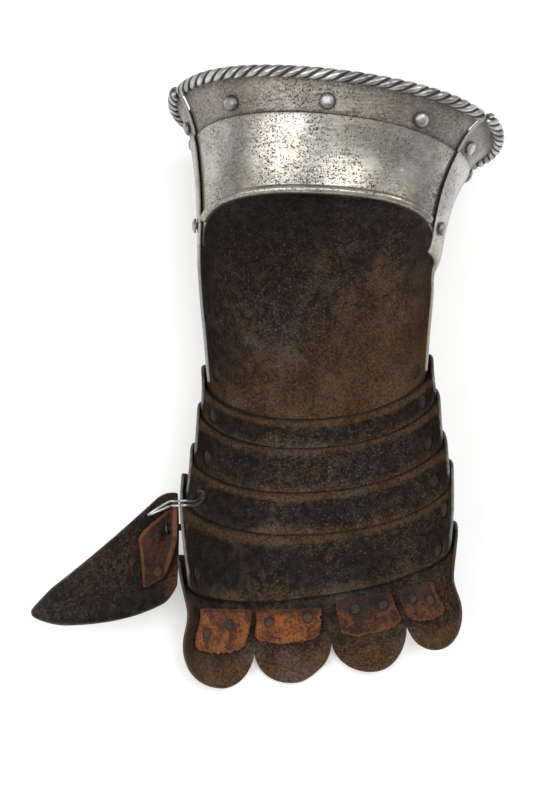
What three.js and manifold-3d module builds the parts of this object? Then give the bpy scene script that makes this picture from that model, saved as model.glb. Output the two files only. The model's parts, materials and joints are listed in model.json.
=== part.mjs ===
// A plate gauntlet for the right hand, laid on its back with the open palm up.
//
// A flared cuff closes round the wrist: its back plate runs on over the wrist and its palm plate
// is riveted inside it along both sides. Four lames and a scalloped knuckle plate follow, each
// lapping outside the plate before it and turning on two rivets. Leather tabs are riveted inside
// the knuckle plate, and a leather-lined thumb plate is laced to the lames with a loop of wire.
//
// The hand's own frame, in millimetres: +Y runs from the fingers to the elbow, +X to the little
// finger's side, and +Z from the back of the hand to the palm. The group turns that frame so
// that the gauntlet lies on the XY plane. A skin is the outer face of a plate as a function of
// an angle round the hand, 0 at the middle of the back, and of a station along it.
import * as THREE from "three";
import { mergeVertices } from "three/addons/utils/BufferGeometryUtils.js";
import Module from "manifold-3d";

const wasm = await Module();
wasm.setup();

// Driving dimensions.
const PLATE = 1.1; // thickness of the steel
const LAP_GAP = 0.7; // play between the two cuff plates
const GAP = 0.4; // play under rivet heads
const TAB_GAP = 0.6; // play under the leather
const HAND_MIDDLE = -4; // height of the widest line of the hand plates
const ROPE_R = 2.7; // roped rim of the cuff
const ROLL_R = 1.9; // rolled lower edge of the palm plate
const BAND_DEPTH = 0.9; // how far the riveted border is sunk
const LEATHER = 2.2; // thickness of the finger tabs
const THUMB_LEATHER = 1.8;
const SHANK_R = 1.4;
const HOLE_R = 1.9;
const PIVOT_HOLE_R = 2.2;
const HEAD_R = 3.1;
const WIRE_R = 0.5;
const RIGHT_SEAM = 115; // angles of the back plate's side edges on the cuff, in degrees
const LEFT_SEAM = 102;
const SIDE_EDGE = 95; // angle of the side edges on the hand
const SIDE_FROM = 85; // up to here the back plate's columns run straight, in degrees
const TAB_END = 59; // station where the right-hand lap stops
const REST_PITCH = 2.78; // turns that lay the hand's frame on its back, in degrees
const REST_ROLL = -6.38;

const degrees = THREE.MathUtils.degToRad;
const mix = THREE.MathUtils.lerp;
const ramp = THREE.MathUtils.smoothstep;

const steel = (name, colour, roughness, metalness) =>
  new THREE.MeshStandardMaterial({ name, color: colour, roughness, metalness });
const brightSteel = steel("bright_steel", 0xa9a69c, 0.32, 1);
const rustedSteel = steel("rusted_steel", 0x3a2c22, 0.7, 0.6);
const rivetSteel = steel("rivet_steel", 0x6f6a60, 0.45, 0.9);
const wireSteel = steel("wire", 0xb5b2ac, 0.35, 1);
const hide = steel("leather", 0x7a3f1d, 0.85, 0);

// Stations of each plate, from the elbow towards the fingers: where the section is, its left and
// right sides, its lowest point on the back, how far it leans with x, how far its middle runs on
// towards the fingers, and how square it is (2 is an ellipse).
const STATIONS = {
  back_plate: [
    { at: 121.5, left: -60.8, right: 75.2, back: -59.4, lean: -0.129, sag: 0, square: 2.1 },
    { at: 117, left: -57.6, right: 69.8, back: -55.6, lean: -0.123, sag: 0, square: 2.1 },
    { at: 106, left: -53.4, right: 62.6, back: -51, lean: -0.108, sag: 0, square: 2.1 },
    { at: 90, left: -50.8, right: 55.7, back: -47, lean: -0.075, sag: 0, square: 2.15 },
    { at: 75, left: -50, right: 51.9, back: -45, lean: -0.05, sag: 0, square: 2.2 },
    { at: 62, left: -49.7, right: 49.4, back: -44, lean: -0.03, sag: 0, square: 2.2 },
    { at: 57, left: -49.5, right: 47.3, back: -43.7, lean: -0.02, sag: 0.4, square: 2.2 },
    { at: 45, left: -48.7, right: 46.4, back: -43, lean: 0, sag: 1.6, square: 2.25 },
    { at: 28, left: -46.9, right: 44.8, back: -42, lean: 0.03, sag: 4, square: 2.3 },
    { at: 10, left: -45.3, right: 43.4, back: -40.2, lean: 0.053, sag: 6.4, square: 2.3 },
  ],
  lame_1: [
    { at: 30, left: -49.2, right: 47.4, back: -44.4, lean: 0.05, sag: 6, square: 2.3 },
    { at: 12, left: -47.6, right: 46, back: -43.2, lean: 0.055, sag: 6.6, square: 2.3 },
    { at: -1, left: -47.8, right: 46.9, back: -42.2, lean: 0.062, sag: 7, square: 2.3 },
  ],
  lame_2: [
    { at: 17, left: -48.9, right: 47.4, back: -45.6, lean: 0.06, sag: 6.6, square: 2.3 },
    { at: -5, left: -49.5, right: 48.5, back: -45, lean: 0.062, sag: 6.6, square: 2.3 },
    { at: -20, left: -50.5, right: 49.2, back: -43.8, lean: 0.066, sag: 6.4, square: 2.3 },
  ],
  lame_3: [
    { at: -1, left: -51.3, right: 50, back: -47.2, lean: 0.062, sag: 6.4, square: 2.3 },
    { at: -23, left: -52.3, right: 51, back: -46.6, lean: 0.062, sag: 6.6, square: 2.3 },
    { at: -37, left: -53.7, right: 51.8, back: -45.4, lean: 0.062, sag: 7, square: 2.3 },
  ],
  lame_4: [
    { at: -15, left: -54.6, right: 52.6, back: -48.6, lean: 0.06, sag: 6.4, square: 2.3 },
    { at: -40, left: -55.8, right: 53.2, back: -48.2, lean: 0.09, sag: 6, square: 2.3 },
    { at: -55, left: -54.2, right: 52.7, back: -47.4, lean: 0.12, sag: 4.4, square: 2.35 },
    { at: -67, left: -52.4, right: 51.6, back: -46, lean: 0.142, sag: 3, square: 2.4 },
  ],
  knuckle_plate: [
    { at: -47, left: -58, right: 55.8, back: -50.4, lean: 0.135, sag: 3.4, square: 2.4 },
    { at: -60, left: -56.4, right: 54.6, back: -49.8, lean: 0.135, sag: 3.2, square: 2.4 },
    { at: -75, left: -55, right: 55, back: -48.4, lean: 0.13, sag: 3, square: 2.4 },
    { at: -84, left: -59, right: 60, back: -48.2, lean: 0.125, sag: 3, square: 2.35 },
    { at: -108, left: -60, right: 61, back: -45.6, lean: 0.12, sag: 3, square: 2.3 },
  ],
};
// The palm plate lies inside the back plate's sides; this is how high its middle stands, and
// how far it dips towards the fingers.
const PALM_STATIONS = [
  { at: 64, top: 30.6, dip: 0 },
  { at: 72, top: 31.6, dip: 0 },
  { at: 90, top: 36.6, dip: 0 },
  { at: 106, top: 44.6, dip: 0.2 },
  { at: 117, top: 49.4, dip: 1.8 },
  { at: 121.5, top: 51.8, dip: 2.6 },
];
const BAND_STEP = 104.8; // station where the sunk border begins
const BAND_RAMP = 1.2;
const UNDERLAP = 14; // degrees of the palm plate hidden inside each side of the back plate
const TONGUE_TOP = 115.5; // station where those hidden sides stop
const ARCH_TOP = 76.2; // middle of the palm plate's lower edge
const ARCH_DROP = 10.7;

const LAMES = [
  { name: "lame_1", upper: 25, lower: -1, drop: [19, 21] },
  { name: "lame_2", upper: 10, lower: -20, drop: [18, 18] },
  { name: "lame_3", upper: -7, lower: -37, drop: [17, 21] },
  { name: "lame_4", upper: -21, lower: -67, drop: [9, 15] },
];
const KNUCKLE_TOP = -50;
const KNUCKLE_DROP = [12, 17];
const EAR_WIDTH = 0.4; // share of the half width over which an upper corner is rounded
const FOOT_WIDTH = 0.12;
const FOOT_RISE = 4;

// Lobes of the knuckle plate: the angles they span, and the stations of their ends.
const LOBES = [
  { from: -68, peak: -38.8, to: -23.2, notches: [-84, -87], tip: -103 },
  { from: -23.2, peak: -7.3, to: 2.8, notches: [-87, -86], tip: -101.5 },
  { from: 2.8, peak: 19.5, to: 32.6, notches: [-86, -84], tip: -101.5 },
  { from: 32.6, peak: 52, to: 70, notches: [-84, -84], tip: -99.5 },
];
const LOBE_SIDE = -84;
const KNUCKLE_HOLLOW = 1.6; // depth of the valleys between the knuckles

// The thumb plate's three curves, and those of the leather that carries it.
const THUMB = [
  [[-57.2, -76, -19], [-80, -87.5, -12], [-110, -93.5, 6]],
  [[-56.8, -52, -23.5], [-83, -74, -13], [-113, -89, 7]],
  [[-58.2, -29, -16], [-85.5, -60.5, 3], [-112, -84.5, 9.5]],
];
const THUMB_FACING = 1;
const THUMB_ROUND = 0.84; // where its tip begins to be rounded
const THUMB_ROOT = 0.14; // where its root corners stop being rounded
const TAB_TOP = [-56.7, -48.5, -2.5]; // the tab's end beside the fourth lame
const TAB_BEND = [-57.3, -49, -12]; // where it turns down towards the thumb plate
const TAB_HALF = 7.5;
const TAB_REACH = 0.3; // share of the thumb plate the tab covers
const TAB_RIVET = [-82, -44]; // angle and station on the fourth lame
const THUMB_RIVETS = [
  [0.19, 0.5],
  [0.19, -0.25],
];

// Rivets: an angle in degrees and a station on the innermost plate they pass.
const DOME_R = 3.5;
const SEAM_RIVETS = [
  [72, 110.4],
  [72, 72],
  [-85, 110.4],
  [-85, 72],
];
const PALM_RIVETS = [
  [-44, 110.4],
  [-2, 110.4],
  [36.5, 110.4],
];
const BACK_RIVETS = [
  [-72, 110.4],
  [-36, 110.4],
  [0, 110.4],
  [36, 110.4],
  [72, 110.4],
];
const PIVOTS = [
  { plates: ["back_plate", "lame_1"], left: [-68, 19.5], right: [68, 16.6] },
  { plates: ["lame_1", "lame_2"], left: [-68, 3.1], right: [68, 3.7] },
  { plates: ["lame_2", "lame_3"], left: [-68, -14.3], right: [68, -14] },
  { plates: ["lame_3", "lame_4"], left: [-70, -28.4], right: [68, -29.7], laced: true },
  { plates: ["lame_4", "knuckle_plate"], left: [-70, -59.5], right: [69, -62.7] },
];
const LAME_RIVET = [76, -45.8];

// Leather tabs: corners and rivets, as angles and stations on the knuckle plate.
const FINGER_TABS = [
  {
    corners: [[-63, -72], [-27, -70], [-28, -87], [-58, -88]],
    rivets: [[-55, -80.5], [-41, -76.5]],
  },
  {
    corners: [[-24.5, -70.5], [0.5, -71.5], [0, -84.5], [-24, -83]],
    rivets: [[-18.7, -76], [-3, -75.5]],
  },
  {
    corners: [[5, -70], [30, -70.5], [32, -84], [6, -85]],
    rivets: [[12.4, -75], [25.6, -75.5]],
  },
  {
    corners: [[34.5, -71], [58, -72.5], [57, -86], [34.5, -84]],
    rivets: [[42.5, -76], [54, -78.5]],
  },
];

// The wire's way from the empty pivot hole over the lame's edge to the thumb, and its far end.
const WIRE_PATH = [
  [-47.2, -36.5, -14],
  [-49.8, -40, -5],
  [-53.2, -42, 2.6],
  [-57.4, -43, 2.8],
  [-60.8, -43, -2],
];
const WIRE_END = [-68.5, -46, -6];

// The rows' values at a station, on a smooth curve through the rows.
function valuesAt(rows, at) {
  const order = rows[0].at < rows[rows.length - 1].at ? rows : [...rows].reverse();
  let i = order.findIndex((row) => at <= row.at);
  i = THREE.MathUtils.clamp(i < 0 ? order.length - 1 : i, 1, order.length - 1);
  const [p, q] = [order[i - 1], order[i]];
  const [o, r] = [order[i - 2] ?? p, order[i + 1] ?? q];
  const span = q.at - p.at;
  const u = (at - p.at) / span;
  const slope = (a, b, key) => (a === b ? 0 : (b[key] - a[key]) / (b.at - a.at));
  const result = { at };
  for (const key of Object.keys(p)) {
    if (key === "at") continue;
    const middle = slope(p, q, key);
    const start = o === p ? middle : (slope(o, p, key) + middle) / 2;
    const end = r === q ? middle : (slope(q, r, key) + middle) / 2;
    const v = THREE.MathUtils.clamp(u, -1, 2);
    result[key] =
      p[key] * (2 * v ** 3 - 3 * v * v + 1) +
      q[key] * (3 * v * v - 2 * v ** 3) +
      span * (start * (v ** 3 - 2 * v * v + v) + end * (v ** 3 - v * v));
  }
  return result;
}

// A smooth curve through four even steps, between the second and the third.
const catmull = (a, b, c, d, v) =>
  0.5 * (2 * b + (c - a) * v + (2 * a - 5 * b + 4 * c - d) * v * v + (3 * b - a - 3 * c + d) * v ** 3);

const power = (value, square) => Math.sign(value) * Math.abs(value) ** (2 / square);

// Outer face of a back or hand plate. The angle is in radians, 0 at the back, positive to +X.
function handSkin(name) {
  const rows = STATIONS[name];
  const cuff = name === "back_plate";
  const skin = (angle, at) => {
    const v = valuesAt(rows, at);
    const middle = (v.left + v.right) / 2;
    const half = (v.right - v.left) / 2;
    const sunk = cuff ? BAND_DEPTH * ramp(at, BAND_STEP, BAND_STEP + BAND_RAMP) : 0;
    const over = cuff ? valuesAt(PALM_STATIONS, at).top + PLATE + LAP_GAP : 2 * HAND_MIDDLE - v.back;
    const depth = Math.cos(angle) > 0 ? HAND_MIDDLE - v.back : over - HAND_MIDDLE;
    const side = (half - sunk) * power(Math.sin(angle), v.square);
    const drop = (depth - sunk) * power(Math.cos(angle), v.square);
    const forward = v.sag * Math.max(Math.cos(angle), 0) ** 2;
    return new THREE.Vector3(middle + side, at + v.lean * side - forward, HAND_MIDDLE - drop);
  };
  return Object.assign(skin, { facing: -1, stride: 0.4 });
}

// Outer face of the palm plate. The angle is 0 at the middle of the palm, positive to +X.
function palmSkin(angle, at) {
  const v = valuesAt(STATIONS.back_plate, at);
  const middle = (v.left + v.right) / 2;
  const sunk = BAND_DEPTH * ramp(at, BAND_STEP, BAND_STEP + BAND_RAMP);
  const side = ((v.right - v.left) / 2 - PLATE - LAP_GAP - sunk) * power(Math.sin(angle), v.square);
  const { top, dip } = valuesAt(PALM_STATIONS, at);
  const rise = (top - HAND_MIDDLE - sunk) * power(Math.cos(angle), v.square);
  const forward = dip * Math.cos(angle) ** 2;
  return new THREE.Vector3(middle + side, at + v.lean * side - forward, HAND_MIDDLE + rise);
}
Object.assign(palmSkin, { facing: 1, stride: 0.4 });

// Unit normal of a skin, pointing away from the hand.
const STEP = 0.02;
function normalOf(skin, u, v) {
  const du = skin(u + STEP, v).sub(skin(u - STEP, v));
  const dv = skin(u, v + skin.stride).sub(skin(u, v - skin.stride));
  return du.cross(dv).normalize().multiplyScalar(skin.facing);
}

// A closed mesh as a solid, and back.
function solidOf(geometry) {
  const bare = new THREE.BufferGeometry();
  bare.setAttribute("position", geometry.getAttribute("position"));
  if (geometry.index) bare.setIndex(geometry.index);
  const merged = mergeVertices(bare, 1e-4);
  return new wasm.Manifold(
    new wasm.Mesh({
      numProp: 3,
      vertProperties: new Float32Array(merged.attributes.position.array),
      triVerts: new Uint32Array(merged.index.array),
    }),
  );
}

function geometryOf(solid) {
  const mesh = solid.getMesh();
  const geometry = new THREE.BufferGeometry();
  geometry.setAttribute("position", new THREE.BufferAttribute(mesh.vertProperties, 3));
  geometry.setIndex(new THREE.BufferAttribute(mesh.triVerts, 1));
  geometry.computeVertexNormals();
  return geometry;
}

// A plate bent to a skin: a flat box whose faces are moved onto the skin and one thickness
// inside it. `trim` turns a place in the box, both from 0 to 1, into the skin's own u and v.
function bentPlate(skin, trim, across, along, thickness, inset = 0) {
  const box = new THREE.BoxGeometry(1, 1, 1, across, along, 1);
  const position = box.attributes.position;
  for (let i = 0; i < position.count; i++) {
    const [u, v] = trim(position.getX(i) + 0.5, position.getY(i) + 0.5);
    const depth = inset + (0.5 - position.getZ(i)) * thickness;
    const point = skin(u, v).addScaledVector(normalOf(skin, u, v), -depth);
    position.setXYZ(i, point.x, point.y, point.z);
  }
  return solidOf(box);
}

const pick = (list, share) => list[Math.round(share * (list.length - 1))];
const evenly = (from, to, steps) => Array.from({ length: steps + 1 }, (_, i) => mix(from, to, i / steps));

// A round bar along a curve.
function bar(points, radius, steps, closed = false) {
  const path = new THREE.CatmullRomCurve3(points, closed);
  const section = new THREE.Shape();
  section.absarc(0, 0, radius, 0, 2 * Math.PI);
  const made = new THREE.ExtrudeGeometry(section, {
    steps,
    curveSegments: 4, // eight sides
    extrudePath: path,
    bevelEnabled: false,
  });
  return solidOf(made);
}

const group = new THREE.Group();
function add(name, solid, material) {
  const mesh = new THREE.Mesh(geometryOf(solid), material);
  mesh.name = name;
  group.add(mesh);
}

// Where a line from a point along a direction meets a skin, by Newton's method.
function pierce(skin, point, direction, guessU, guessV) {
  let [u, v, reach] = [guessU, guessV, 0];
  for (let i = 0; i < 12; i++) {
    const miss = skin(u, v).sub(point).addScaledVector(direction, -reach);
    const du = skin(u + 1e-4, v).sub(skin(u, v)).multiplyScalar(1e4);
    const dv = skin(u, v + 1e-3).sub(skin(u, v)).multiplyScalar(1e3);
    const matrix = new THREE.Matrix3().set(
      ...[du.x, dv.x, -direction.x],
      ...[du.y, dv.y, -direction.y],
      ...[du.z, dv.z, -direction.z],
    );
    miss.applyMatrix3(matrix.invert());
    u -= miss.x;
    v -= miss.y;
    reach -= miss.z;
  }
  return { u, v, reach };
}

// Turns +Y to a direction and moves the origin to a point.
function placed(geometry, point, direction) {
  const turn = new THREE.Quaternion().setFromUnitVectors(new THREE.Vector3(0, 1, 0), direction);
  return geometry.applyQuaternion(turn).translate(point.x, point.y, point.z);
}

function drill(point, direction, radius) {
  return solidOf(placed(new THREE.CylinderGeometry(radius, radius, 24, 8), point, direction));
}

// A rivet from `point`, on the inner face, along `direction` for `stack` mm of metal and leather:
// a flat head inside, a shank, and a domed head outside.
function rivet(point, direction, stack, headR = HEAD_R, innerR = headR) {
  const top = stack + GAP;
  const profile = [
    new THREE.Vector2(0, -GAP - 0.9),
    new THREE.Vector2(innerR * 0.8, -GAP - 0.8),
    new THREE.Vector2(innerR, -GAP),
    new THREE.Vector2(SHANK_R, -GAP),
    new THREE.Vector2(SHANK_R, top),
    new THREE.Vector2(headR, top),
    new THREE.Vector2(headR * 0.72, top + 1.1),
    new THREE.Vector2(0, top + 1.7),
  ];
  return solidOf(placed(new THREE.LatheGeometry(profile, 8), point, direction));
}

// ---- Plates ----
const skins = Object.fromEntries(Object.keys(STATIONS).map((name) => [name, handSkin(name)]));
const plates = {};

// Side edges of the back plate at a station, in degrees.
const rightReach = (at) => mix(SIDE_EDGE, RIGHT_SEAM, ramp(at, TAB_END - 0.4, TAB_END + 0.4));
const leftReach = (at) => mix(SIDE_EDGE, LEFT_SEAM, ramp(at, TAB_END - 6, TAB_END + 16));
{
  const levels = [121, 116.5, 112, 106, 104.8, 95, 85, 74, 59.4, 58.6, 47, 35, 22, 10];
  const trim = (s, t) => {
    const at = pick(levels, t);
    const share = Math.abs(2 * s - 1);
    const reach = s < 0.5 ? leftReach(at) : rightReach(at);
    const angle = share < 0.8 ? (SIDE_FROM * share) / 0.8 : mix(SIDE_FROM, reach, (share - 0.8) / 0.2);
    return [degrees(angle * Math.sign(2 * s - 1)), at];
  };
  const shell = bentPlate(skins.back_plate, trim, 28, levels.length - 1, PLATE);
  const rim = evenly(-LEFT_SEAM, RIGHT_SEAM, 28).map((a) => skins.back_plate(degrees(a), 121.2));
  plates.back_plate = shell.add(bar(rim, ROPE_R, 30));
}

// The palm plate: its sides lie inside the back plate's, and its lower edge is an arch.
const palmLeft = LEFT_SEAM - 180;
const palmRight = 180 - RIGHT_SEAM;
const archEdge = (angle) => {
  const end = Math.abs(angle) / (UNDERLAP + (angle < 0 ? -palmLeft : palmRight));
  return ARCH_TOP - ARCH_DROP * end ** 3.5;
};
{
  const columns = [
    ...[palmLeft - UNDERLAP, palmLeft - UNDERLAP / 2, palmLeft + 0.4],
    ...evenly(palmLeft + 1.4, palmRight - 1.4, 20),
    ...[palmRight - 0.4, palmRight + UNDERLAP / 2, palmRight + UNDERLAP],
  ];
  const trim = (s, t) => {
    const angle = pick(columns, s);
    const tongue = angle < palmLeft + 1 || angle > palmRight - 1;
    const low = archEdge(angle);
    const levels = [low, mix(low, 104.8, 0.35), mix(low, 104.8, 0.7), 104.8, 106, 112, tongue ? TONGUE_TOP : 121];
    return [degrees(angle), pick(levels, t)];
  };
  const shell = bentPlate(palmSkin, trim, columns.length - 1, 6, PLATE);
  const rim = evenly(palmLeft + 1.4, palmRight - 1.4, 24).map((a) => palmSkin(degrees(a), 121.2));
  const roll = evenly(palmLeft + 3, palmRight - 3, 24).map((a) => {
    const [u, v] = [degrees(a), archEdge(a) + ROLL_R * 0.6];
    return palmSkin(u, v).addScaledVector(normalOf(palmSkin, u, v), ROLL_R * 0.1);
  });
  plates.palm_plate = shell.add(bar(rim, ROPE_R, 26)).add(bar(roll, ROLL_R, 24));
}

// The lames: even lower edges, and upper corners cut round about the rivets.
const rounded = (share) => 1 - Math.sqrt(Math.max(1 - share * share, 0));
const corner = (s, width, depth) => depth * rounded(Math.max(Math.abs(s) - 1 + width, 0) / width);
const crowd = (s) => 0.45 * s + 0.55 * Math.sin((s * Math.PI) / 2); // closer towards the ends
for (const { name, upper, lower, drop } of LAMES) {
  const trim = (place, t) => {
    const s = crowd(2 * place - 1);
    const high = upper - corner(s, EAR_WIDTH, drop[s < 0 ? 0 : 1]);
    const low = lower + corner(s, FOOT_WIDTH, FOOT_RISE);
    return [degrees(s * SIDE_EDGE), mix(high, low, t)];
  };
  plates[name] = bentPlate(skins[name], trim, 26, 3, PLATE);
}

// The knuckle plate: four lobes along its lower edge, and sides that run in towards them.
const lobeOf = (angle) => LOBES.find((lobe) => angle <= lobe.to) ?? LOBES[LOBES.length - 1];
const lobeShare = (angle) => {
  const { from, peak, to } = lobeOf(angle);
  const share = (angle - peak) / (angle < peak ? peak - from : to - peak);
  return THREE.MathUtils.clamp(share, -1, 1);
};
const lobeWave = (angle) => Math.sqrt(1 - lobeShare(angle) ** 2);
const OUTER = [LOBES[0].from, LOBES[LOBES.length - 1].to];
const knuckleEdge = (angle) => {
  const lobe = lobeOf(angle);
  return mix(lobe.notches[lobeShare(angle) < 0 ? 0 : 1], lobe.tip, lobeWave(angle));
};
const knuckleReach = (at, edge) => mix(SIDE_EDGE, Math.abs(edge), ramp(-at, 56, -LOBE_SIDE));
const knuckleSkin = (angle, at) => {
  const depth = KNUCKLE_HOLLOW * (1 - lobeWave(THREE.MathUtils.radToDeg(angle))) * ramp(-at, 70, 96);
  const point = skins.knuckle_plate(angle, at);
  return point.addScaledVector(normalOf(skins.knuckle_plate, angle, at), -depth);
};
Object.assign(knuckleSkin, { facing: -1, stride: 0.4 });
{
  const columns = LOBES.flatMap(({ from, to }, i) =>
    evenly(0, 1, 9)
      .slice(i ? 1 : 0)
      .map((t) => mix(from, to, 0.5 - 0.5 * Math.cos(t * Math.PI))),
  );
  const trim = (s, t) => {
    const angle = pick(columns, s);
    const edge = angle < 0 ? OUTER[0] : OUTER[1];
    const share = angle / edge;
    const drop = KNUCKLE_DROP[angle < 0 ? 0 : 1];
    const at = mix(KNUCKLE_TOP - corner(share, EAR_WIDTH, drop), knuckleEdge(angle), t);
    return [degrees(share * Math.sign(edge) * knuckleReach(at, edge)), at];
  };
  plates.knuckle_plate = bentPlate(knuckleSkin, trim, columns.length - 1, 6, PLATE);
}

// ---- Thumb ----
// A skin through three curves, each through three points from the hand to the tip: q is -1 on
// the finger side's curve, 0 on the middle one and 1 on the wrist side's.
const through = (share, [a, b, c]) => {
  const point = new THREE.Vector3();
  point.addScaledVector(new THREE.Vector3(...a), (1 - share) * (1 - 2 * share));
  point.addScaledVector(new THREE.Vector3(...b), 4 * share * (1 - share));
  return point.addScaledVector(new THREE.Vector3(...c), share * (2 * share - 1));
};
const patch = (curves) => {
  const skin = (p, q) => {
    const row = curves.map((curve) => through(p, curve).toArray());
    return through((q + 1) / 2, row);
  };
  return Object.assign(skin, { facing: THUMB_FACING, stride: 0.02 });
};
const thumbSkin = patch(THUMB);
const thumbWidth = (p) => {
  const tip = 0.985 * (Math.max(p - THUMB_ROUND, 0) / (1 - THUMB_ROUND));
  const root = Math.max(1 - p / THUMB_ROOT, 0);
  return Math.sqrt(1 - tip * tip) - 0.2 * root * root;
};
const alongThumb = [0, 0.05, 0.12, 0.26, 0.42, 0.58, 0.72, 0.84, 0.91, 0.955, 0.985, 1];
plates.thumb_plate = bentPlate(
  thumbSkin,
  (s, t) => {
    const p = pick(alongThumb, t);
    return [p, (1 - 2 * s) * thumbWidth(p)];
  },
  10,
  alongThumb.length - 1,
  PLATE,
);

// ---- Rivets ----
// Every rivet goes straight out from the inner face of a plate, at an angle and a station on it,
// through the plates named, and each plate is drilled for it.
const rivets = {};
const layers = { ...skins, knuckle_plate: knuckleSkin, palm_plate: palmSkin };
function rivetThrough(label, names, angle, at, options = {}) {
  const { headR = HEAD_R, innerR = headR, holeR = HOLE_R, lining = 0 } = options;
  const inner = layers[names[0]];
  const u = degrees(angle);
  const out = normalOf(inner, u, at);
  const start = inner(u, at).addScaledVector(out, -PLATE - (lining ? lining + TAB_GAP : 0));
  let stack = PLATE + (lining ? lining + TAB_GAP : 0);
  if (names.length > 1) {
    const guess = names[0] === "palm_plate" ? Math.sign(u) * Math.PI - u : u;
    stack = pierce(layers[names[1]], start, out, guess, at).reach;
  }
  for (const name of names) plates[name] = plates[name].subtract(drill(start, out, holeR));
  if (!options.unfilled) rivets[label] = rivet(start, out, stack, headR, innerR);
  return { start, out, stack };
}

SEAM_RIVETS.forEach(([angle, at], i) =>
  rivetThrough(`seam_rivet_${i + 1}`, ["palm_plate", "back_plate"], angle, at),
);
PALM_RIVETS.forEach(([angle, at], i) =>
  rivetThrough(`palm_rivet_${i + 1}`, ["palm_plate"], angle, at, { headR: DOME_R, innerR: 2.6 }),
);
BACK_RIVETS.forEach(([angle, at], i) =>
  rivetThrough(`back_rivet_${i + 1}`, ["back_plate"], angle, at, { headR: DOME_R, innerR: 2.6 }),
);
const hinges = PIVOTS.map(({ plates: pair, left, right, laced }, i) =>
  [left, right].map(([angle, at], side) => {
    const label = `pivot_rivet_${i + 1}${side ? "b" : "a"}`;
    const unfilled = laced && side === 0;
    return rivetThrough(label, pair, angle, at, { holeR: PIVOT_HOLE_R, unfilled });
  }),
);
rivetThrough("lame_rivet", ["lame_4"], ...LAME_RIVET, { headR: 2.8, innerR: 3.6 });

// ---- Leather tabs inside the knuckle plate ----
const tabs = {};
FINGER_TABS.forEach(({ corners, rivets: pair }, i) => {
  const [a, b, c, d] = corners; // upper left, upper right, lower right, lower left
  const trim = (s, t) => {
    const angle = mix(mix(a[0], b[0], s), mix(d[0], c[0], s), t);
    const bulge = 1.2 * Math.sin(Math.PI * s) * t;
    return [degrees(angle), mix(mix(a[1], b[1], s), mix(d[1], c[1], s), t) - bulge];
  };
  const name = `finger_tab_${i + 1}`;
  tabs[name] = bentPlate(knuckleSkin, trim, 6, 4, LEATHER, PLATE + TAB_GAP);
  pair.forEach(([angle, at], j) => {
    const options = { headR: 2.6, innerR: 2.3, lining: LEATHER };
    const made = rivetThrough(`tab_rivet_${2 * i + j + 1}`, ["knuckle_plate"], angle, at, options);
    tabs[name] = tabs[name].subtract(drill(made.start, made.out, HOLE_R));
  });
});

// ---- Thumb plate, its leather and the wire ----
// The leather lies in the thumb plate's root and turns up beside the fourth lame.
const onThumb = (p, q, raised) => {
  const side = 0.15 + 0.62 * q;
  return thumbSkin(p, side).addScaledVector(normalOf(thumbSkin, p, side), -PLATE - raised);
};
const tabSkin = (t, q) => {
  const rows = [
    new THREE.Vector3(TAB_TOP[0], TAB_TOP[1] + TAB_HALF * q, TAB_TOP[2]),
    new THREE.Vector3(TAB_BEND[0], TAB_BEND[1] + TAB_HALF * q, TAB_BEND[2]),
    onThumb(TAB_REACH * 0.35, q, TAB_GAP + 0.8),
    onThumb(TAB_REACH * 0.68, q, TAB_GAP),
    onThumb(TAB_REACH, q, TAB_GAP),
  ];
  const place = THREE.MathUtils.clamp(t, 0, 1) * 4;
  const i = Math.min(Math.floor(place), 3);
  const [a, b, c, d] = [rows[i - 1] ?? rows[0], rows[i], rows[i + 1], rows[i + 2] ?? rows[4]];
  const v = place - i;
  const blend = (key) => catmull(a[key], b[key], c[key], d[key], v);
  return new THREE.Vector3(blend("x"), blend("y"), blend("z"));
};
Object.assign(tabSkin, { facing: 1, stride: 0.02 });
tabs.thumb_tab = bentPlate(tabSkin, (s, t) => [t, 1 - 2 * s], 6, 10, THUMB_LEATHER);
THUMB_RIVETS.forEach(([p, q], i) => {
  const out = normalOf(thumbSkin, p, q);
  const stack = PLATE + TAB_GAP + THUMB_LEATHER;
  const start = thumbSkin(p, q).addScaledVector(out, -stack);
  plates.thumb_plate = plates.thumb_plate.subtract(drill(start, out, HOLE_R));
  tabs.thumb_tab = tabs.thumb_tab.subtract(drill(start, out, HOLE_R));
  rivets[`thumb_rivet_${i + 1}`] = rivet(start, out, stack, 2.8, 2.4);
});

{
  const hole = rivetThrough("lame_hole", ["lame_4"], ...TAB_RIVET, { unfilled: true });
  const stack = pierce(tabSkin, hole.start, hole.out, 0.15, 0.3).reach + THUMB_LEATHER + 1.2;
  tabs.thumb_tab = tabs.thumb_tab.subtract(drill(hole.start, hole.out, HOLE_R));
  rivets.thumb_tab_rivet = rivet(hole.start, hole.out, stack, 2.6, 2.3);
}

for (const [name, solid] of Object.entries(plates)) {
  add(name, solid, name.startsWith("back") || name.startsWith("palm") ? brightSteel : rustedSteel);
}
for (const [name, solid] of Object.entries(rivets)) add(name, solid, rivetSteel);
for (const [name, solid] of Object.entries(tabs)) add(name, solid, hide);

// The loop of wire passes twice through the empty pivot hole, over the edge of the fourth lame
// and round the first thumb rivet.
{
  const [{ start, out, stack }] = hinges[3];
  const along = new THREE.Vector3(0, 1, 0).cross(out).normalize();
  const strand = (sign) => [
    start.clone().addScaledVector(out, stack + 1.4).addScaledVector(along, sign * 0.75),
    start.clone().addScaledVector(out, -1.4).addScaledVector(along, sign * 0.75),
    ...WIRE_PATH.map(([x, y, z]) => new THREE.Vector3(x, y + sign * 0.9, z)),
  ];
  const loop = [...strand(1), new THREE.Vector3(...WIRE_END), ...strand(-1).reverse()];
  add("wire_loop", bar(loop, WIRE_R, 48, true), wireSteel);
}

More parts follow.
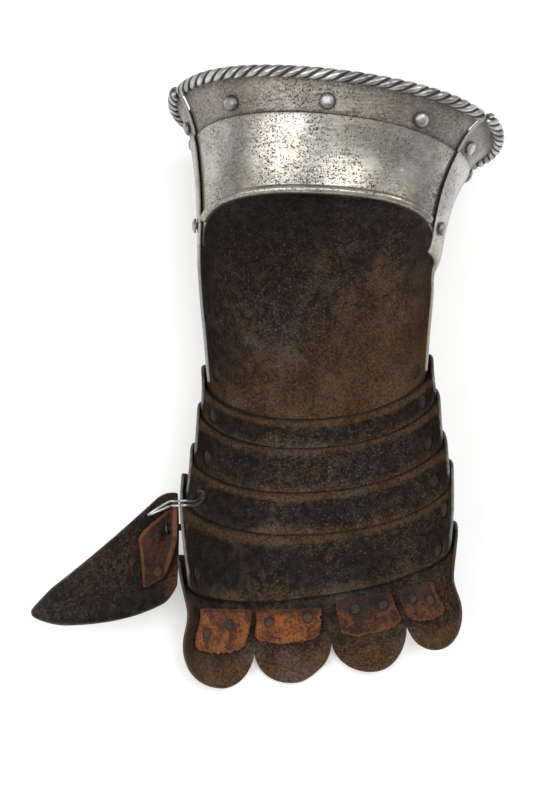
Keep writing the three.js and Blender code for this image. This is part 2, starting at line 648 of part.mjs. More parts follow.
// Laid on its back, with the middle of its box over the origin and its lowest point at zero.
group.rotation.set(degrees(REST_PITCH), degrees(REST_ROLL), 0);
group.updateMatrixWorld(true);
const box = new THREE.Box3().setFromObject(group, true);
group.position.set(-(box.min.x + box.max.x) / 2, -(box.min.y + box.max.y) / 2, -box.min.z);
export default group;
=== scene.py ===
import json
import math

import bpy
import numpy as np
from mathutils import Matrix, Vector

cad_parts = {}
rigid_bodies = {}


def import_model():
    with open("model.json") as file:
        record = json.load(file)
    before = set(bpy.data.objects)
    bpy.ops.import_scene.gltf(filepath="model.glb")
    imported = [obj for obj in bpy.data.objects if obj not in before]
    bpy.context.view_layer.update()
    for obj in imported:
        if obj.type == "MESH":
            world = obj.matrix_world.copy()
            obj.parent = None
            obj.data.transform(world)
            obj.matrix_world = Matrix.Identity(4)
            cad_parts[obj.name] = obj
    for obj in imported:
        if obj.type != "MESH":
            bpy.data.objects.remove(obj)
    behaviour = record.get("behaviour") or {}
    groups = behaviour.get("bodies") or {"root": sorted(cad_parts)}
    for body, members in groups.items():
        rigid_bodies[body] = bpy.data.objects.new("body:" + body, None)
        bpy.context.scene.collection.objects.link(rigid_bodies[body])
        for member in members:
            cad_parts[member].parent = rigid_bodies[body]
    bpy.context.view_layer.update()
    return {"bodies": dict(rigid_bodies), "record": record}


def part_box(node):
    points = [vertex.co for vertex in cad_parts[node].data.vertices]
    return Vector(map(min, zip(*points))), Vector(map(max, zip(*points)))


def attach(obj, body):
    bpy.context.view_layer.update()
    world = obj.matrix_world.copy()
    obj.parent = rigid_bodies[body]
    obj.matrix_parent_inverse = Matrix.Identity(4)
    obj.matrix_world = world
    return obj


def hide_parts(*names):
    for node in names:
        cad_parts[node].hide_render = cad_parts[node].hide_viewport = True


bl_info = {
    "name": "Plate Gauntlet",
    "version": (1, 0, 0),
    "blender": (4, 5, 0),
    "location": "View3D > Sidebar > Gauntlet",
    "description": "Builds a worn plate gauntlet from curved shells, a roped rim, rivets and leather",
    "category": "Add Mesh",
}

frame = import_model()

# ---------------------------------------------------------------------------------------------
# The hand's own frame, in millimetres: +Y from the fingers to the elbow, +X to the little
# finger's side, +Z from the back of the hand to the palm.  A skin is the outer face of a plate
# as a function of an angle round the hand, 0 at the middle of the back, and a station along it.

MM = 0.001
REST_PITCH = 2.78
REST_ROLL = -6.38
LAID_AT = (18.17, -12.85, 54.4)
HAND_MIDDLE = -4.0
SIDE_EDGE = 95.0
SIDE_FROM = 85.0
RIGHT_SEAM = 115.0
LEFT_SEAM = 102.0
UNDERLAP = 14.0
TAB_END = 59.0
LAP_GAP = 0.7
RIVET_GAP = 0.4
TAB_GAP = 0.6
BAND_STEP = 104.8
BAND_RAMP = 1.2
RIM_AT = 121.0
RIM_BEAD_AT = 121.2
TONGUE_TOP = 115.5
ARCH_TOP = 76.2
ARCH_DROP = 10.7
EAR_WIDTH = 0.4
FOOT_WIDTH = 0.12
FOOT_RISE = 4.0
STEP = 0.02

# Station, left side, right side, lowest point, lean, sag and squareness.
STATIONS = {
    "back_plate": [
        (121.5, -60.8, 75.2, -59.4, -0.129, 0, 2.1),
        (117, -57.6, 69.8, -55.6, -0.123, 0, 2.1),
        (106, -53.4, 62.6, -51, -0.108, 0, 2.1),
        (90, -50.8, 55.7, -47, -0.075, 0, 2.15),
        (75, -50, 51.9, -45, -0.05, 0, 2.2),
        (62, -49.7, 49.4, -44, -0.03, 0, 2.2),
        (57, -49.5, 47.3, -43.7, -0.02, 0.4, 2.2),
        (45, -48.7, 46.4, -43, 0, 1.6, 2.25),
        (28, -46.9, 44.8, -42, 0.03, 4, 2.3),
        (10, -45.3, 43.4, -40.2, 0.053, 6.4, 2.3),
    ],
    "lame_1": [
        (30, -49.2, 47.4, -44.4, 0.05, 6, 2.3),
        (12, -47.6, 46, -43.2, 0.055, 6.6, 2.3),
        (-1, -47.8, 46.9, -42.2, 0.062, 7, 2.3),
    ],
    "lame_2": [
        (17, -48.9, 47.4, -45.6, 0.06, 6.6, 2.3),
        (-5, -49.5, 48.5, -45, 0.062, 6.6, 2.3),
        (-20, -50.5, 49.2, -43.8, 0.066, 6.4, 2.3),
    ],
    "lame_3": [
        (-1, -51.3, 50, -47.2, 0.062, 6.4, 2.3),
        (-23, -52.3, 51, -46.6, 0.062, 6.6, 2.3),
        (-37, -53.7, 51.8, -45.4, 0.062, 7, 2.3),
    ],
    "lame_4": [
        (-15, -54.6, 52.6, -48.6, 0.06, 6.4, 2.3),
        (-40, -55.8, 53.2, -48.2, 0.09, 6, 2.3),
        (-55, -54.2, 52.7, -47.4, 0.12, 4.4, 2.35),
        (-67, -52.4, 51.6, -46, 0.142, 3, 2.4),
    ],
    "knuckle_plate": [
        (-47, -58, 55.8, -50.4, 0.135, 3.4, 2.4),
        (-60, -56.4, 54.6, -49.8, 0.135, 3.2, 2.4),
        (-75, -55, 55, -48.4, 0.13, 3, 2.4),
        (-84, -59, 60, -48.2, 0.125, 3, 2.35),
        (-108, -60, 61, -45.6, 0.12, 3, 2.3),
    ],
}
# Station, height of the palm plate's middle, and how far it dips.
PALM_STATIONS = [
    (64, 30.6, 0),
    (72, 31.6, 0),
    (90, 36.6, 0),
    (106, 44.6, 0.2),
    (117, 49.4, 1.8),
    (121.5, 51.8, 2.6),
]
LAMES = {
    "lame_1": (25, -1, (19, 21)),
    "lame_2": (10, -20, (18, 18)),
    "lame_3": (-7, -37, (17, 21)),
    "lame_4": (-21, -67, (9, 15)),
}
KNUCKLE_TOP = -50.0
KNUCKLE_DROP = (12, 17)
KNUCKLE_HOLLOW = 1.6
# From, peak and to in degrees, the notches on both sides, and the tip.
LOBES = [
    (-68, -38.8, -23.2, -84, -87, -103),
    (-23.2, -7.3, 2.8, -87, -86, -101.5),
    (2.8, 19.5, 32.6, -86, -84, -101.5),
    (32.6, 52, 70, -84, -84, -99.5),
]
THUMB = [
    [(-57.2, -76, -19), (-80, -87.5, -12), (-110, -93.5, 6)],
    [(-56.8, -52, -23.5), (-83, -74, -13), (-113, -89, 7)],
    [(-58.2, -29, -16), (-85.5, -60.5, 3), (-112, -84.5, 9.5)],
]
THUMB_ROUND = 0.84
THUMB_ROOT = 0.14
TAB_TOP = (-56.7, -48.5, -2.5)
TAB_BEND = (-57.3, -49, -12)
TAB_HALF = 7.5
TAB_REACH = 0.3
TAB_RIVET = (-82, -44)
THUMB_RIVETS = [(0.19, 0.5), (0.19, -0.25)]
SEAM_RIVETS = [(72, 110.4), (72, 72), (-85, 110.4), (-85, 72)]
PALM_RIVETS = [(-44, 110.4), (-2, 110.4), (36.5, 110.4)]
BACK_RIVETS = [(-72, 110.4), (-36, 110.4), (0, 110.4), (36, 110.4), (72, 110.4)]
PIVOTS = [
    ("back_plate", "lame_1", (-68, 19.5), (68, 16.6)),
    ("lame_1", "lame_2", (-68, 3.1), (68, 3.7)),
    ("lame_2", "lame_3", (-68, -14.3), (68, -14)),
    ("lame_3", "lame_4", (-70, -28.4), (68, -29.7)),
    ("lame_4", "knuckle_plate", (-70, -59.5), (69, -62.7)),
]
LACED = 3
LAME_RIVET = (76, -45.8)
# Corners and rivets of each finger tab, as angles and stations on the knuckle plate.
FINGER_TABS = [
    ([(-63, -72), (-27, -70), (-28, -87), (-58, -88)], [(-55, -80.5), (-41, -76.5)]),
    ([(-24.5, -70.5), (0.5, -71.5), (0, -84.5), (-24, -83)], [(-18.7, -76), (-3, -75.5)]),
    ([(5, -70), (30, -70.5), (32, -84), (6, -85)], [(12.4, -75), (25.6, -75.5)]),
    ([(34.5, -71), (58, -72.5), (57, -86), (34.5, -84)], [(42.5, -76), (54, -78.5)]),
]
WIRE_PATH = [
    (-47.2, -36.5, -14),
    (-49.6, -41.3, -5),
    (-53.2, -43.3, 2.6),
    (-57.4, -43.6, 2.8),
    (-60.8, -43, -2),
]
WIRE_END = (-68.5, -46, -6)
WIRE_SPREAD = 0.75
WIRE_APART = 0.9
WIRE_OUTSIDE = 1.4
WIRE_INSIDE = 2.0
LACED_RADIUS = 2.1
RIVET_SIDES = 28
SHANK = 1.4
HEAD_CHAMFER = 0.12
HEAD_EDGE = 0.15
BACK_RISE = 0.75
MOST_STRAY = 0.0008
CAMERA_TILT = 73.0
CAMERA_REACH = 1200.0
CAMERA_MIDDLE = -21.4
LENS = 135.0
# Name, place and width in metres, and watts.
LAMPS = [
    ("key", (-0.95, -0.5, 1.2), 1.0, 12),
    ("fill", (0.95, 0.3, 1.1), 0.5, 5),
    ("top", (0.1, -0.3, 1.7), 0.7, 8),
]


# ---------------------------------------------------------------------------------------------
# Curves and skins


def size(name):
    """One of the panel's sizes, in millimetres."""
    return getattr(bpy.context.scene.gauntlet_sizes, name) / MM


def mix(low, high, share):
    """From low to high by a share."""
    return low + (high - low) * share


def ramp(value, low, high):
    """Smooth step: three times the square less twice the cube of the share from low to high."""
    share = np.clip((value - low) / (high - low), 0, 1)
    return share * share * (3 - 2 * share)


def values_at(rows, at):
    """Every column of the rows at a station, on cubics whose slope at a row is the mean of the
    slopes on its two sides."""
    table = np.array(sorted(rows), float)
    keys, columns = table[:, 0], table[:, 1:]
    slopes = np.diff(columns, axis=0) / np.diff(keys)[:, None]
    ends = np.vstack([slopes[:1], (slopes[1:] + slopes[:-1]) / 2, slopes[-1:]])
    at = np.asarray(at, float)
    i = np.clip(np.searchsorted(keys, at), 1, len(keys) - 1)
    span = keys[i] - keys[i - 1]
    v = np.clip((at - keys[i - 1]) / span, -1, 2)[..., None]
    span = span[..., None]
    value = (
        columns[i - 1] * (2 * v**3 - 3 * v * v + 1)
        + columns[i] * (3 * v * v - 2 * v**3)
        + span * (ends[i - 1] * (v**3 - 2 * v * v + v) + ends[i] * (v**3 - v * v))
    )
    return [value[..., k] for k in range(value.shape[-1])]


def power(value, square):
    """The value to the power 2 over the squareness, with its sign."""
    return np.sign(value) * np.abs(value) ** (2 / square)


def hand_skin(name):
    """Half a rounded-off ellipse round the back of the hand: across goes as a power of the
    sine of the angle, down as the same power of its cosine."""
    rows = STATIONS[name]
    cuff = name == "back_plate"

    def skin(angle, at):
        left, right, back, lean, sag, square = values_at(rows, at)
        sunk = size("band_depth") * ramp(at, BAND_STEP, BAND_STEP + BAND_RAMP) if cuff else 0
        below = HAND_MIDDLE - back
        over = below
        if cuff:
            over = values_at(PALM_STATIONS, at)[0] + size("plate") + LAP_GAP - HAND_MIDDLE
        depth = np.where(np.cos(angle) > 0, below, over)
        side = ((right - left) / 2 - sunk) * power(np.sin(angle), square)
        drop = (depth - sunk) * power(np.cos(angle), square)
        forward = sag * np.maximum(np.cos(angle), 0) ** 2
        x = (left + right) / 2 + side
        return np.stack(np.broadcast_arrays(x, at + lean * side - forward, HAND_MIDDLE - drop), -1)

    return skin


def palm_skin(angle, at):
    """The same ellipse inside the back plate's sides, arched up over the wrist. The angle is 0
    at the middle of the palm."""
    left, right, _back, lean, _sag, square = values_at(STATIONS["back_plate"], at)
    top, dip = values_at(PALM_STATIONS, at)
    sunk = size("band_depth") * ramp(at, BAND_STEP, BAND_STEP + BAND_RAMP)
    side = ((right - left) / 2 - size("plate") - LAP_GAP - sunk) * power(np.sin(angle), square)
    rise = (top - HAND_MIDDLE - sunk) * power(np.cos(angle), square)
    y = at + lean * side - dip * np.cos(angle) ** 2
    return np.stack(np.broadcast_arrays((left + right) / 2 + side, y, HAND_MIDDLE + rise), -1)


def normal_of(skin, u, v, facing, stride=0.4):
    """Unit normal: the cross product of the skin's steps along u and v, turned outwards."""
    du = skin(u + STEP, v) - skin(u - STEP, v)
    dv = skin(u, v + stride) - skin(u, v - stride)
    normal = np.cross(du, dv) * facing
    return normal / np.linalg.norm(normal, axis=-1, keepdims=True)


def lobe_wave(degrees):
    """Height of the knuckle lobes: on each side of a peak, a quarter of a circle."""
    wave = np.zeros_like(degrees)
    for low, peak, high, *_rest in LOBES:
        share = (degrees - peak) / np.where(degrees < peak, peak - low, high - peak)
        inside = (degrees >= low) & (degrees <= high)
        wave = np.where(inside, np.sqrt(np.clip(1 - share * share, 0, 1)), wave)
    return wave


def knuckle_edge(degrees):
    """Station of the knuckle plate's lower edge: from the notch to the tip by the wave."""
    edge = np.full_like(degrees, LOBES[0][3], dtype=float)
    for low, peak, high, before, after, tip in LOBES:
        inside = (degrees >= low) & (degrees <= high)
        notch = np.where(degrees < peak, before, after)
        edge = np.where(inside, notch + (tip - notch) * lobe_wave(degrees), edge)
    return edge


def knuckle_skin(angle, at):
    """The hand's skin, sunk between the knuckles by the lobes' wave."""
    base = hand_skin("knuckle_plate")
    depth = KNUCKLE_HOLLOW * (1 - lobe_wave(np.degrees(angle))) * ramp(-at, 70, 96)
    return base(angle, at) - normal_of(base, angle, at, -1) * np.asarray(depth)[..., None]


def through(share, a, b, c):
    """The parabola through three points, at shares 0, a half and 1."""
    share = np.asarray(share)[..., None]
    a, b, c = (np.asarray(point, float) for point in (a, b, c))
    return a * (1 - share) * (1 - 2 * share) + b * 4 * share * (1 - share) + c * share * (2 * share - 1)


def thumb_skin(p, q):
    """A parabola across three parabolas that run from the root to the tip."""
    return through((np.asarray(q) + 1) / 2, *(through(p, *curve) for curve in THUMB))


def thumb_width(p):
    """Half width as a share: an ellipse at the tip, and corners rounded off at the root."""
    tip = 0.985 * np.maximum(p - THUMB_ROUND, 0) / (1 - THUMB_ROUND)
    return np.sqrt(1 - tip * tip) - 0.2 * np.maximum(1 - p / THUMB_ROOT, 0) ** 2


def catmull(a, b, c, d, v):
    """A smooth cubic from b to c whose slopes follow a and d."""
    return 0.5 * (
        2 * b + (c - a) * v + (2 * a - 5 * b + 4 * c - d) * v * v + (3 * b - a - 3 * c + d) * v**3
    )


def thumb_tab_skin(t, q):
    """A smooth curve from beside the fourth lame down and out over the thumb plate's root."""
    t, q = np.broadcast_arrays(np.asarray(t, float), np.asarray(q, float))
    side = 0.15 + 0.62 * q

    def on_thumb(p, raised):
        normal = normal_of(thumb_skin, p, side, 1, 0.02)
        return thumb_skin(np.full_like(q, p), side) - normal * (size("plate") + raised)

    def beside(point):
        x, y, z = point
        return np.stack([np.full_like(q, x), y + TAB_HALF * q, np.full_like(q, z)], -1)

    rows = [
        beside(TAB_TOP),
        beside(TAB_BEND),
        on_thumb(TAB_REACH * 0.35, TAB_GAP + 0.8),
        on_thumb(TAB_REACH * 0.68, TAB_GAP),
        on_thumb(TAB_REACH, TAB_GAP),
    ]
    rows = np.stack([rows[0], *rows, rows[-1]])
    place = np.clip(t, 0, 1) * 4
    i = np.minimum(np.floor(place), 3).astype(int)
    grid = np.indices(i.shape)
    picked = [rows[(i + k, *grid)] for k in range(4)]
    return catmull(*picked, (place - i)[..., None])


SKINS = {
    **{name: (hand_skin(name), -1) for name in STATIONS},
    "knuckle_plate": (knuckle_skin, -1),
    "palm_plate": (palm_skin, 1),
}


# ---------------------------------------------------------------------------------------------
# Closed surfaces.  A surface is a dictionary of points, quads, triangles and three marks on its
# points: inside (1 on a plate's inner face), the wear mark (1 on a rubbed edge, and on the plates'
# edges also a painted glint) and the grime mark (dirt, and in places painted shade).

MARKS = ("inside", "worn", "grime")


def laid(points):
    """Millimetres on the hand to metres where the gauntlet lies: turned about Y by the rest roll,
    then about X by the rest pitch, and set down."""
    pitch = Matrix.Rotation(math.radians(REST_PITCH), 3, "X")
    roll = Matrix.Rotation(math.radians(REST_ROLL), 3, "Y")
    return (points @ np.array(pitch @ roll).T + LAID_AT) * MM


def hammering(points, seed=7):
    """Shallow hollows from 0 to 1: the mean of six seeded sine waves 18 to 45 mm long."""
    random = np.random.default_rng(seed)
    ways = random.normal(size=(6, 3))
    ways /= np.linalg.norm(ways, axis=1, keepdims=True) * random.uniform(18, 45, (6, 1)) / (2 * np.pi)
    return 0.5 + 0.5 * np.sin(points @ ways.T + random.uniform(0, 6.3, 6)).mean(-1)


def surface(points, quads, triangles=np.zeros((0, 3), int), inside=0.0, worn=0.0, grime=0.0):
    """A closed surface turned to face outwards, so that its volume, a sixth of the sum of the
    triple products of its triangles' corners, is positive."""
    fan = np.concatenate([quads[:, [0, 1, 2]], quads[:, [0, 2, 3]], triangles])
    a, b, c = (points[fan[:, k]] for k in range(3))
    if np.einsum("ij,ij->i", a, np.cross(b, c)).sum() < 0:
        quads, triangles = quads[:, ::-1], triangles[:, ::-1]
    marks = {name: np.broadcast_to(mark, len(points)) for name, mark in zip(MARKS, (inside, worn, grime))}
    return {"points": points, "quads": quads, "triangles": triangles, **marks}


def edge_distance(grid):
    """The shortest way to the grid's rim, along its rows and columns."""
    ways = []
    for axis in (0, 1):
        steps = np.linalg.norm(np.diff(grid, axis=axis), axis=-1)
        run = np.insert(np.cumsum(steps, axis), 0, 0, axis)
        ways.append(np.minimum(run, run.take([-1], axis) - run))
    return np.minimum(*ways)


def rim_of(rows, columns):
    """Indices once round the rim of a grid."""
    index = np.arange(rows * columns).reshape(rows, columns)
    return np.concatenate([index[0], index[1:, -1], index[-1, -2::-1], index[-2:0:-1, 0]])


def cell_quads(index):
    """The quads between neighbouring indices of a grid."""
    return np.stack([index[:-1, :-1], index[:-1, 1:], index[1:, 1:], index[1:, :-1]], -1)


def sheet(outer, inner, grime=0.0, stain=None, bare=1.0, hole=None, wear=1.6, rounds=6):
    """Two grids joined round their rims by half circles, which makes one closed plate. A hole is
    a point, a direction and a radius: cells inside it go, and its rim is drawn to the circle.
    Stain is the inner grid's grime mark, where that differs, and the bare share is how much of the
    rim's wear and painted glint is left, with 0 for an edge as dark as the inner face."""
    rows, columns = outer.shape[:2]
    rim = rim_of(rows, columns)
    i, j = np.divmod(rim, columns)
    near = np.clip(i, 1, rows - 2) * columns + np.clip(j, 1, columns - 2)
    distance = edge_distance(outer)
    cells = cell_quads(np.arange(rows * columns).reshape(rows, columns))
    kept = np.ones(cells.shape[:2], bool)
    if hole:
        start, out, radius = hole
        for grid in (outer, inner):
            arm = grid - start
            arm = arm - (arm @ out)[..., None] * out
            away = np.linalg.norm(arm, axis=-1)
            centre = (away[:-1, :-1] + away[1:, 1:] + away[:-1, 1:] + away[1:, :-1]) / 4
            if grid is outer:
                kept = centre > radius
                gone = np.pad(~kept, 1)
                shifts = [(a, b) for a in (0, 1) for b in (0, 1)]
                corners = sum(gone[a : a + rows, b : b + columns].astype(int) for a, b in shifts)
                edge = (corners > 0) & (corners < 4)
                distance = np.minimum(distance, np.abs(away - radius))
            grid[edge] += (arm * (radius / np.maximum(away, 1e-6) - 1)[..., None])[edge]
    top, low = outer.reshape(-1, 3), inner.reshape(-1, 3)
    half = (top[rim] - low[rim]) / 2
    middle = (top[rim] + low[rim]) / 2
    way = np.roll(middle, -1, 0) - np.roll(middle, 1, 0)
    edge_way = np.cross(way, half)
    edge_way /= np.linalg.norm(edge_way, axis=1, keepdims=True)
    inward = middle - (top[near] + low[near]) / 2
    reach = np.einsum("ij,ij->i", inward, edge_way)
    edge_way *= np.sign(reach.sum())
    reach = np.abs(reach)
    most = 0.45 * np.minimum(reach, np.median(reach) * 2)
    bend = np.minimum(np.linalg.norm(half, axis=1), most)[:, None]
    turn = np.linspace(0, np.pi, rounds + 1)[:, None, None]
    rings = middle - edge_way * bend + half * np.cos(turn) + edge_way * bend * np.sin(turn)
    top[rim], low[rim] = rings[0], rings[-1]
    count = rows * columns
    between = 2 * count + np.arange((rounds - 1) * len(rim)).reshape(rounds - 1, len(rim))
    strip = np.concatenate([rim[None], between, rim[None] + count])
    strip = np.concatenate([strip, strip[:, :1]], axis=1)
    quads = [cells[kept], cells[kept][:, ::-1] + count, cell_quads(strip).reshape(-1, 4)[:, ::-1]]
    if hole:
        quads.append(hole_wall(kept, rows, columns))
    bare = np.broadcast_to(bare, (rows, columns)).ravel()
    edge_inside = 1 - bare[rim] * (1 + np.cos(turn[1:-1, 0])) / 2
    inside = np.concatenate([np.zeros(count), np.ones(count), edge_inside.ravel()])
    rub_and_glint = np.exp(-distance.ravel() / wear) * bare
    grimy = np.broadcast_to(grime, (rows, columns)).ravel()
    stained = grimy if stain is None else np.broadcast_to(stain, (rows, columns)).ravel()
    return surface(
        np.concatenate([top, low, rings[1:-1].reshape(-1, 3)]),
        np.concatenate([q.reshape(-1, 4) for q in quads]),
        inside=inside,
        worn=np.concatenate([rub_and_glint, rub_and_glint, np.tile(bare[rim], rounds - 1)]),
        grime=np.concatenate([grimy, stained, np.tile(grimy[rim], rounds - 1)]),
    )


def hole_wall(kept, rows, columns):
    """Quads from the outer to the inner grid round the cells that aren't kept."""
    index = np.arange(rows * columns).reshape(rows, columns)
    walls = []
    for axis in (0, 1):
        before = kept[:-1] if axis == 0 else kept[:, :-1]
        after = kept[1:] if axis == 0 else kept[:, 1:]
        a = index[1:-1, :-1] if axis == 0 else index[1:, 1:-1]
        b = index[1:-1, 1:] if axis == 0 else index[:-1, 1:-1]
        for these, first, second in ((before & ~after, a, b), (after & ~before, b, a)):
            first, second = first[these], second[these]
            count = rows * columns
            walls.append(np.stack([first, second, second + count, first + count], -1))
    return np.concatenate(walls)


def plate(skin, facing, u, v, thickness, inset=0.0, stride=0.4, **options):
    """The skin at a grid of parameters, hollowed by the hammering, and the same points moved in
    along the normal by the thickness."""
    u, v = np.broadcast_arrays(u, v)
    out = normal_of(skin, u, v, facing, stride)
    face = skin(u, v)
    face = face - out * (inset + size("ripple") * hammering(face))[..., None]
    inner = face - out * np.broadcast_to(thickness, u.shape)[..., None]
    return sheet(face, inner, **options)


def turned(rings, closed=False, **marks):
    """Rings of points joined in order. The first and last ring are each drawn to one point, or
    in a closed piece are joined to each other."""
    count, sides = rings.shape[:2]
    if closed:
        index = np.arange(count * sides).reshape(count, sides)
        index = np.pad(index, ((0, 1), (0, 1)), mode="wrap")
        marks = {name: np.broadcast_to(mark, (count, sides)).ravel() for name, mark in marks.items()}
        return surface(rings.reshape(-1, 3), cell_quads(index).reshape(-1, 4), **marks)
    body = (count - 2) * sides
    index = 1 + np.arange(body).reshape(count - 2, sides)
    index = np.concatenate([index, index[:, :1]], axis=1)
    first = np.stack([np.zeros(sides, int), index[0, 1:], index[0, :-1]], -1)
    last = np.stack([np.full(sides, body + 1), index[-1, :-1], index[-1, 1:]], -1)

    def poled(grid):
        return np.concatenate([grid[0, :1], grid[1:-1].reshape((-1,) + grid.shape[2:]), grid[-1, :1]])

    marks = {name: poled(np.broadcast_to(mark, (count, sides))) for name, mark in marks.items()}
    return surface(poled(rings), cell_quads(index).reshape(-1, 4), np.concatenate([first, last]), **marks)


def bead(path, up, radius, strands=0, sides=48, grime=0.0):
    """A bar along a path, rounded at both ends. With strands, its radius falls by the groove's
    depth times (1 - |cos half the phase|) to the power 1.4, and the phase is the angle round
    the bar times the strands, plus a full turn for each strand over one lead of its length."""
    way = np.gradient(path, axis=0)
    steps = np.linalg.norm(np.diff(path, axis=0), axis=1)
    run = np.insert(np.cumsum(steps), 0, 0)
    way /= np.linalg.norm(way, axis=1, keepdims=True)
    across = np.cross(way, up)
    across /= np.linalg.norm(across, axis=1, keepdims=True)
    over = np.cross(across, way)
    from_end = np.minimum(run, run[-1] - run)[:, None]
    swell = np.sqrt(np.clip(1 - (1 - np.minimum(from_end / (0.6 * radius), 1)) ** 2, 0, 1))
    angle = np.linspace(0, 2 * np.pi, sides, endpoint=False)[None, :]
    groove = np.zeros((len(path), sides))
    if strands:
        phase = strands * angle + 2 * np.pi * strands * run[:, None] / size("strand_lead")
        groove = (1 - np.abs(np.cos(phase / 2))) ** 1.4
    reach = (radius - size("groove_depth") * groove) * swell
    rings = path[:, None] + reach[..., None] * (
        over[:, None] * np.cos(angle)[..., None] + across[:, None] * np.sin(angle)[..., None]
    )
    return turned(rings, worn=0.5 * (1 - groove), grime=np.clip(groove * 1.4 + grime, 0, 1))


def rivet(start, out, stack, head, inner_head, rise=1.5):
    """A turned rivet: a low elliptical head inside, a shank and a quarter-ellipse dome outside,
    as high as its rise."""
    top = stack + RIVET_GAP
    quarter = np.linspace(0, np.pi / 2, 8)
    radii = [
        inner_head * np.sin(quarter) ** 0.8,
        [inner_head - HEAD_CHAMFER, SHANK, SHANK, head - HEAD_CHAMFER],
        head * np.cos(quarter) ** 0.9,
    ]
    heights = [
        -RIVET_GAP - HEAD_EDGE - BACK_RISE * np.cos(quarter),
        [-RIVET_GAP, -RIVET_GAP, top, top],
        top + HEAD_EDGE + rise * np.sin(quarter),
    ]
    radii = np.concatenate(radii)[:, None, None]
    heights = np.concatenate(heights)[:, None, None]
    side = np.cross(out, [0, 1, 0])
    side /= np.linalg.norm(side)
    angle = np.linspace(0, 2 * np.pi, RIVET_SIDES, endpoint=False)[None, :, None]
    uneven = 1 - 0.03 * (1 + np.sin(2 * angle + start.sum()))
    around = side * np.cos(angle) + np.cross(out, side) * np.sin(angle)
    rings = start + heights * out + radii * uneven * around
    every = np.ones((1, RIVET_SIDES))
    inside = (heights[..., 0] < 0) * every
    rub_and_glint = np.exp(-((radii[..., 0] / max(head, inner_head)) ** 2) * 2) * every
    # the middle of each head is rubbed; towards the rim it is darker with dirt and painted shade
    return turned(rings, inside=inside, worn=rub_and_glint, grime=1 - rub_and_glint)


def site(name, degrees, station, depth):
    """A point inside a plate by a depth from its outer face, and the way out."""
    skin, facing = SKINS[name]
    u, v = np.array(math.radians(degrees)), np.array(float(station))
    out = normal_of(skin, u, v, facing)
    return skin(u, v) - out * depth, out


def pierce(skin, start, out, u, v):
    """How far along a line the skin lies, by Newton's method on two parameters and the reach."""
    small, short = 1e-4, 1e-3
    guess = np.array([u, v, 0.0])
    for _round in range(12):
        here = skin(np.array(guess[0]), np.array(guess[1]))
        du = (skin(np.array(guess[0] + small), np.array(guess[1])) - here) / small
        dv = (skin(np.array(guess[0]), np.array(guess[1] + short)) - here) / short
        guess -= np.linalg.solve(np.stack([du, dv, -out], -1), here - start - guess[2] * out)
    return guess[2]


def rivet_through(names, degrees, station, head=None, inner_head=None, lining=0.0, rise=1.5):
    """A rivet from the inner face of the first plate, or of its lining, through the second."""
    head = head or size("rivet_head")
    depth = size("plate") + (lining + TAB_GAP if lining else 0)
    start, out = site(names[0], degrees, station, depth)
    stack = depth
    if len(names) > 1:
        u = math.radians(degrees)
        guess = math.copysign(math.pi, u) - u if names[0] == "palm_plate" else u
        stack = pierce(SKINS[names[1]][0], start, out, guess, float(station))
    return rivet(start, out, stack, head, inner_head or head, rise)


def laced_hole():
    """The empty pivot hole between the third and fourth lames: a point, a way out and a reach."""
    inner, outer, (degrees, station), _right = PIVOTS[LACED]
    start, out = site(inner, degrees, station, size("plate"))
    return start, out, pierce(SKINS[outer][0], start, out, math.radians(degrees), float(station))


def lay_down(name, body, nodes, surfaces, material):
    """Makes one object of some surfaces, lays it where the gauntlet lies, and lets it ride on a
    body in the place of the frame's own nodes."""
    starts = np.cumsum([0] + [len(s["points"]) for s in surfaces])
    points = laid(np.concatenate([s["points"] for s in surfaces]))
    quads = np.concatenate([s["quads"] + k for s, k in zip(surfaces, starts)])
    triangles = np.concatenate([s["triangles"] + k for s, k in zip(surfaces, starts)])
    mesh = bpy.data.meshes.new(name)
    mesh.vertices.add(len(points))
    mesh.vertices.foreach_set("co", points.ravel())
    corners = np.concatenate([quads.ravel(), triangles.ravel()])
    mesh.loops.add(len(corners))
    mesh.loops.foreach_set("vertex_index", corners)
    firsts = np.concatenate([4 * np.arange(len(quads)), quads.size + 3 * np.arange(len(triangles))])
    mesh.polygons.add(len(firsts))
    mesh.polygons.foreach_set("loop_start", firsts)
    mesh.update(calc_edges=True)
    if mesh.validate():
        raise RuntimeError(f"{name} has faces that Blender had to mend")
    mesh.shade_smooth()
    for mark in MARKS:
        values = np.concatenate([s[mark] for s in surfaces]).astype(np.float32)
        mesh.attributes.new(mark, "FLOAT", "POINT").data.foreach_set("value", values)
    mesh.materials.append(material)
    piece = bpy.data.objects.new(name, mesh)
    bpy.context.scene.collection.objects.link(piece)
    low, high = (np.array([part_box(node)[k] for node in nodes]) for k in (0, 1))
    stray = max((low.min(0) - points.min(0)).max(), (points.max(0) - high.max(0)).max())
    if stray > MOST_STRAY:
        raise RuntimeError(f"{name} strays {1000 * stray:.2f} mm outside the nodes that it replaces")
    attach(piece, body)
    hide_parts(*nodes)
    return piece


# ---------------------------------------------------------------------------------------------
# Shader maths


class Value:
    """A shader socket. Arithmetic on it adds Math nodes."""

    def __init__(self, shader, socket):
        self.shader = shader
        self.socket = socket

    def __add__(self, other):
        return self.shader.maths("ADD", self, other)

    def __sub__(self, other):
        return self.shader.maths("SUBTRACT", self, other)

    def __mul__(self, other):
        return self.shader.maths("MULTIPLY", self, other)

    def __rsub__(self, other):
        return self.shader.maths("SUBTRACT", other, self)

    __radd__ = __add__
    __rmul__ = __mul__


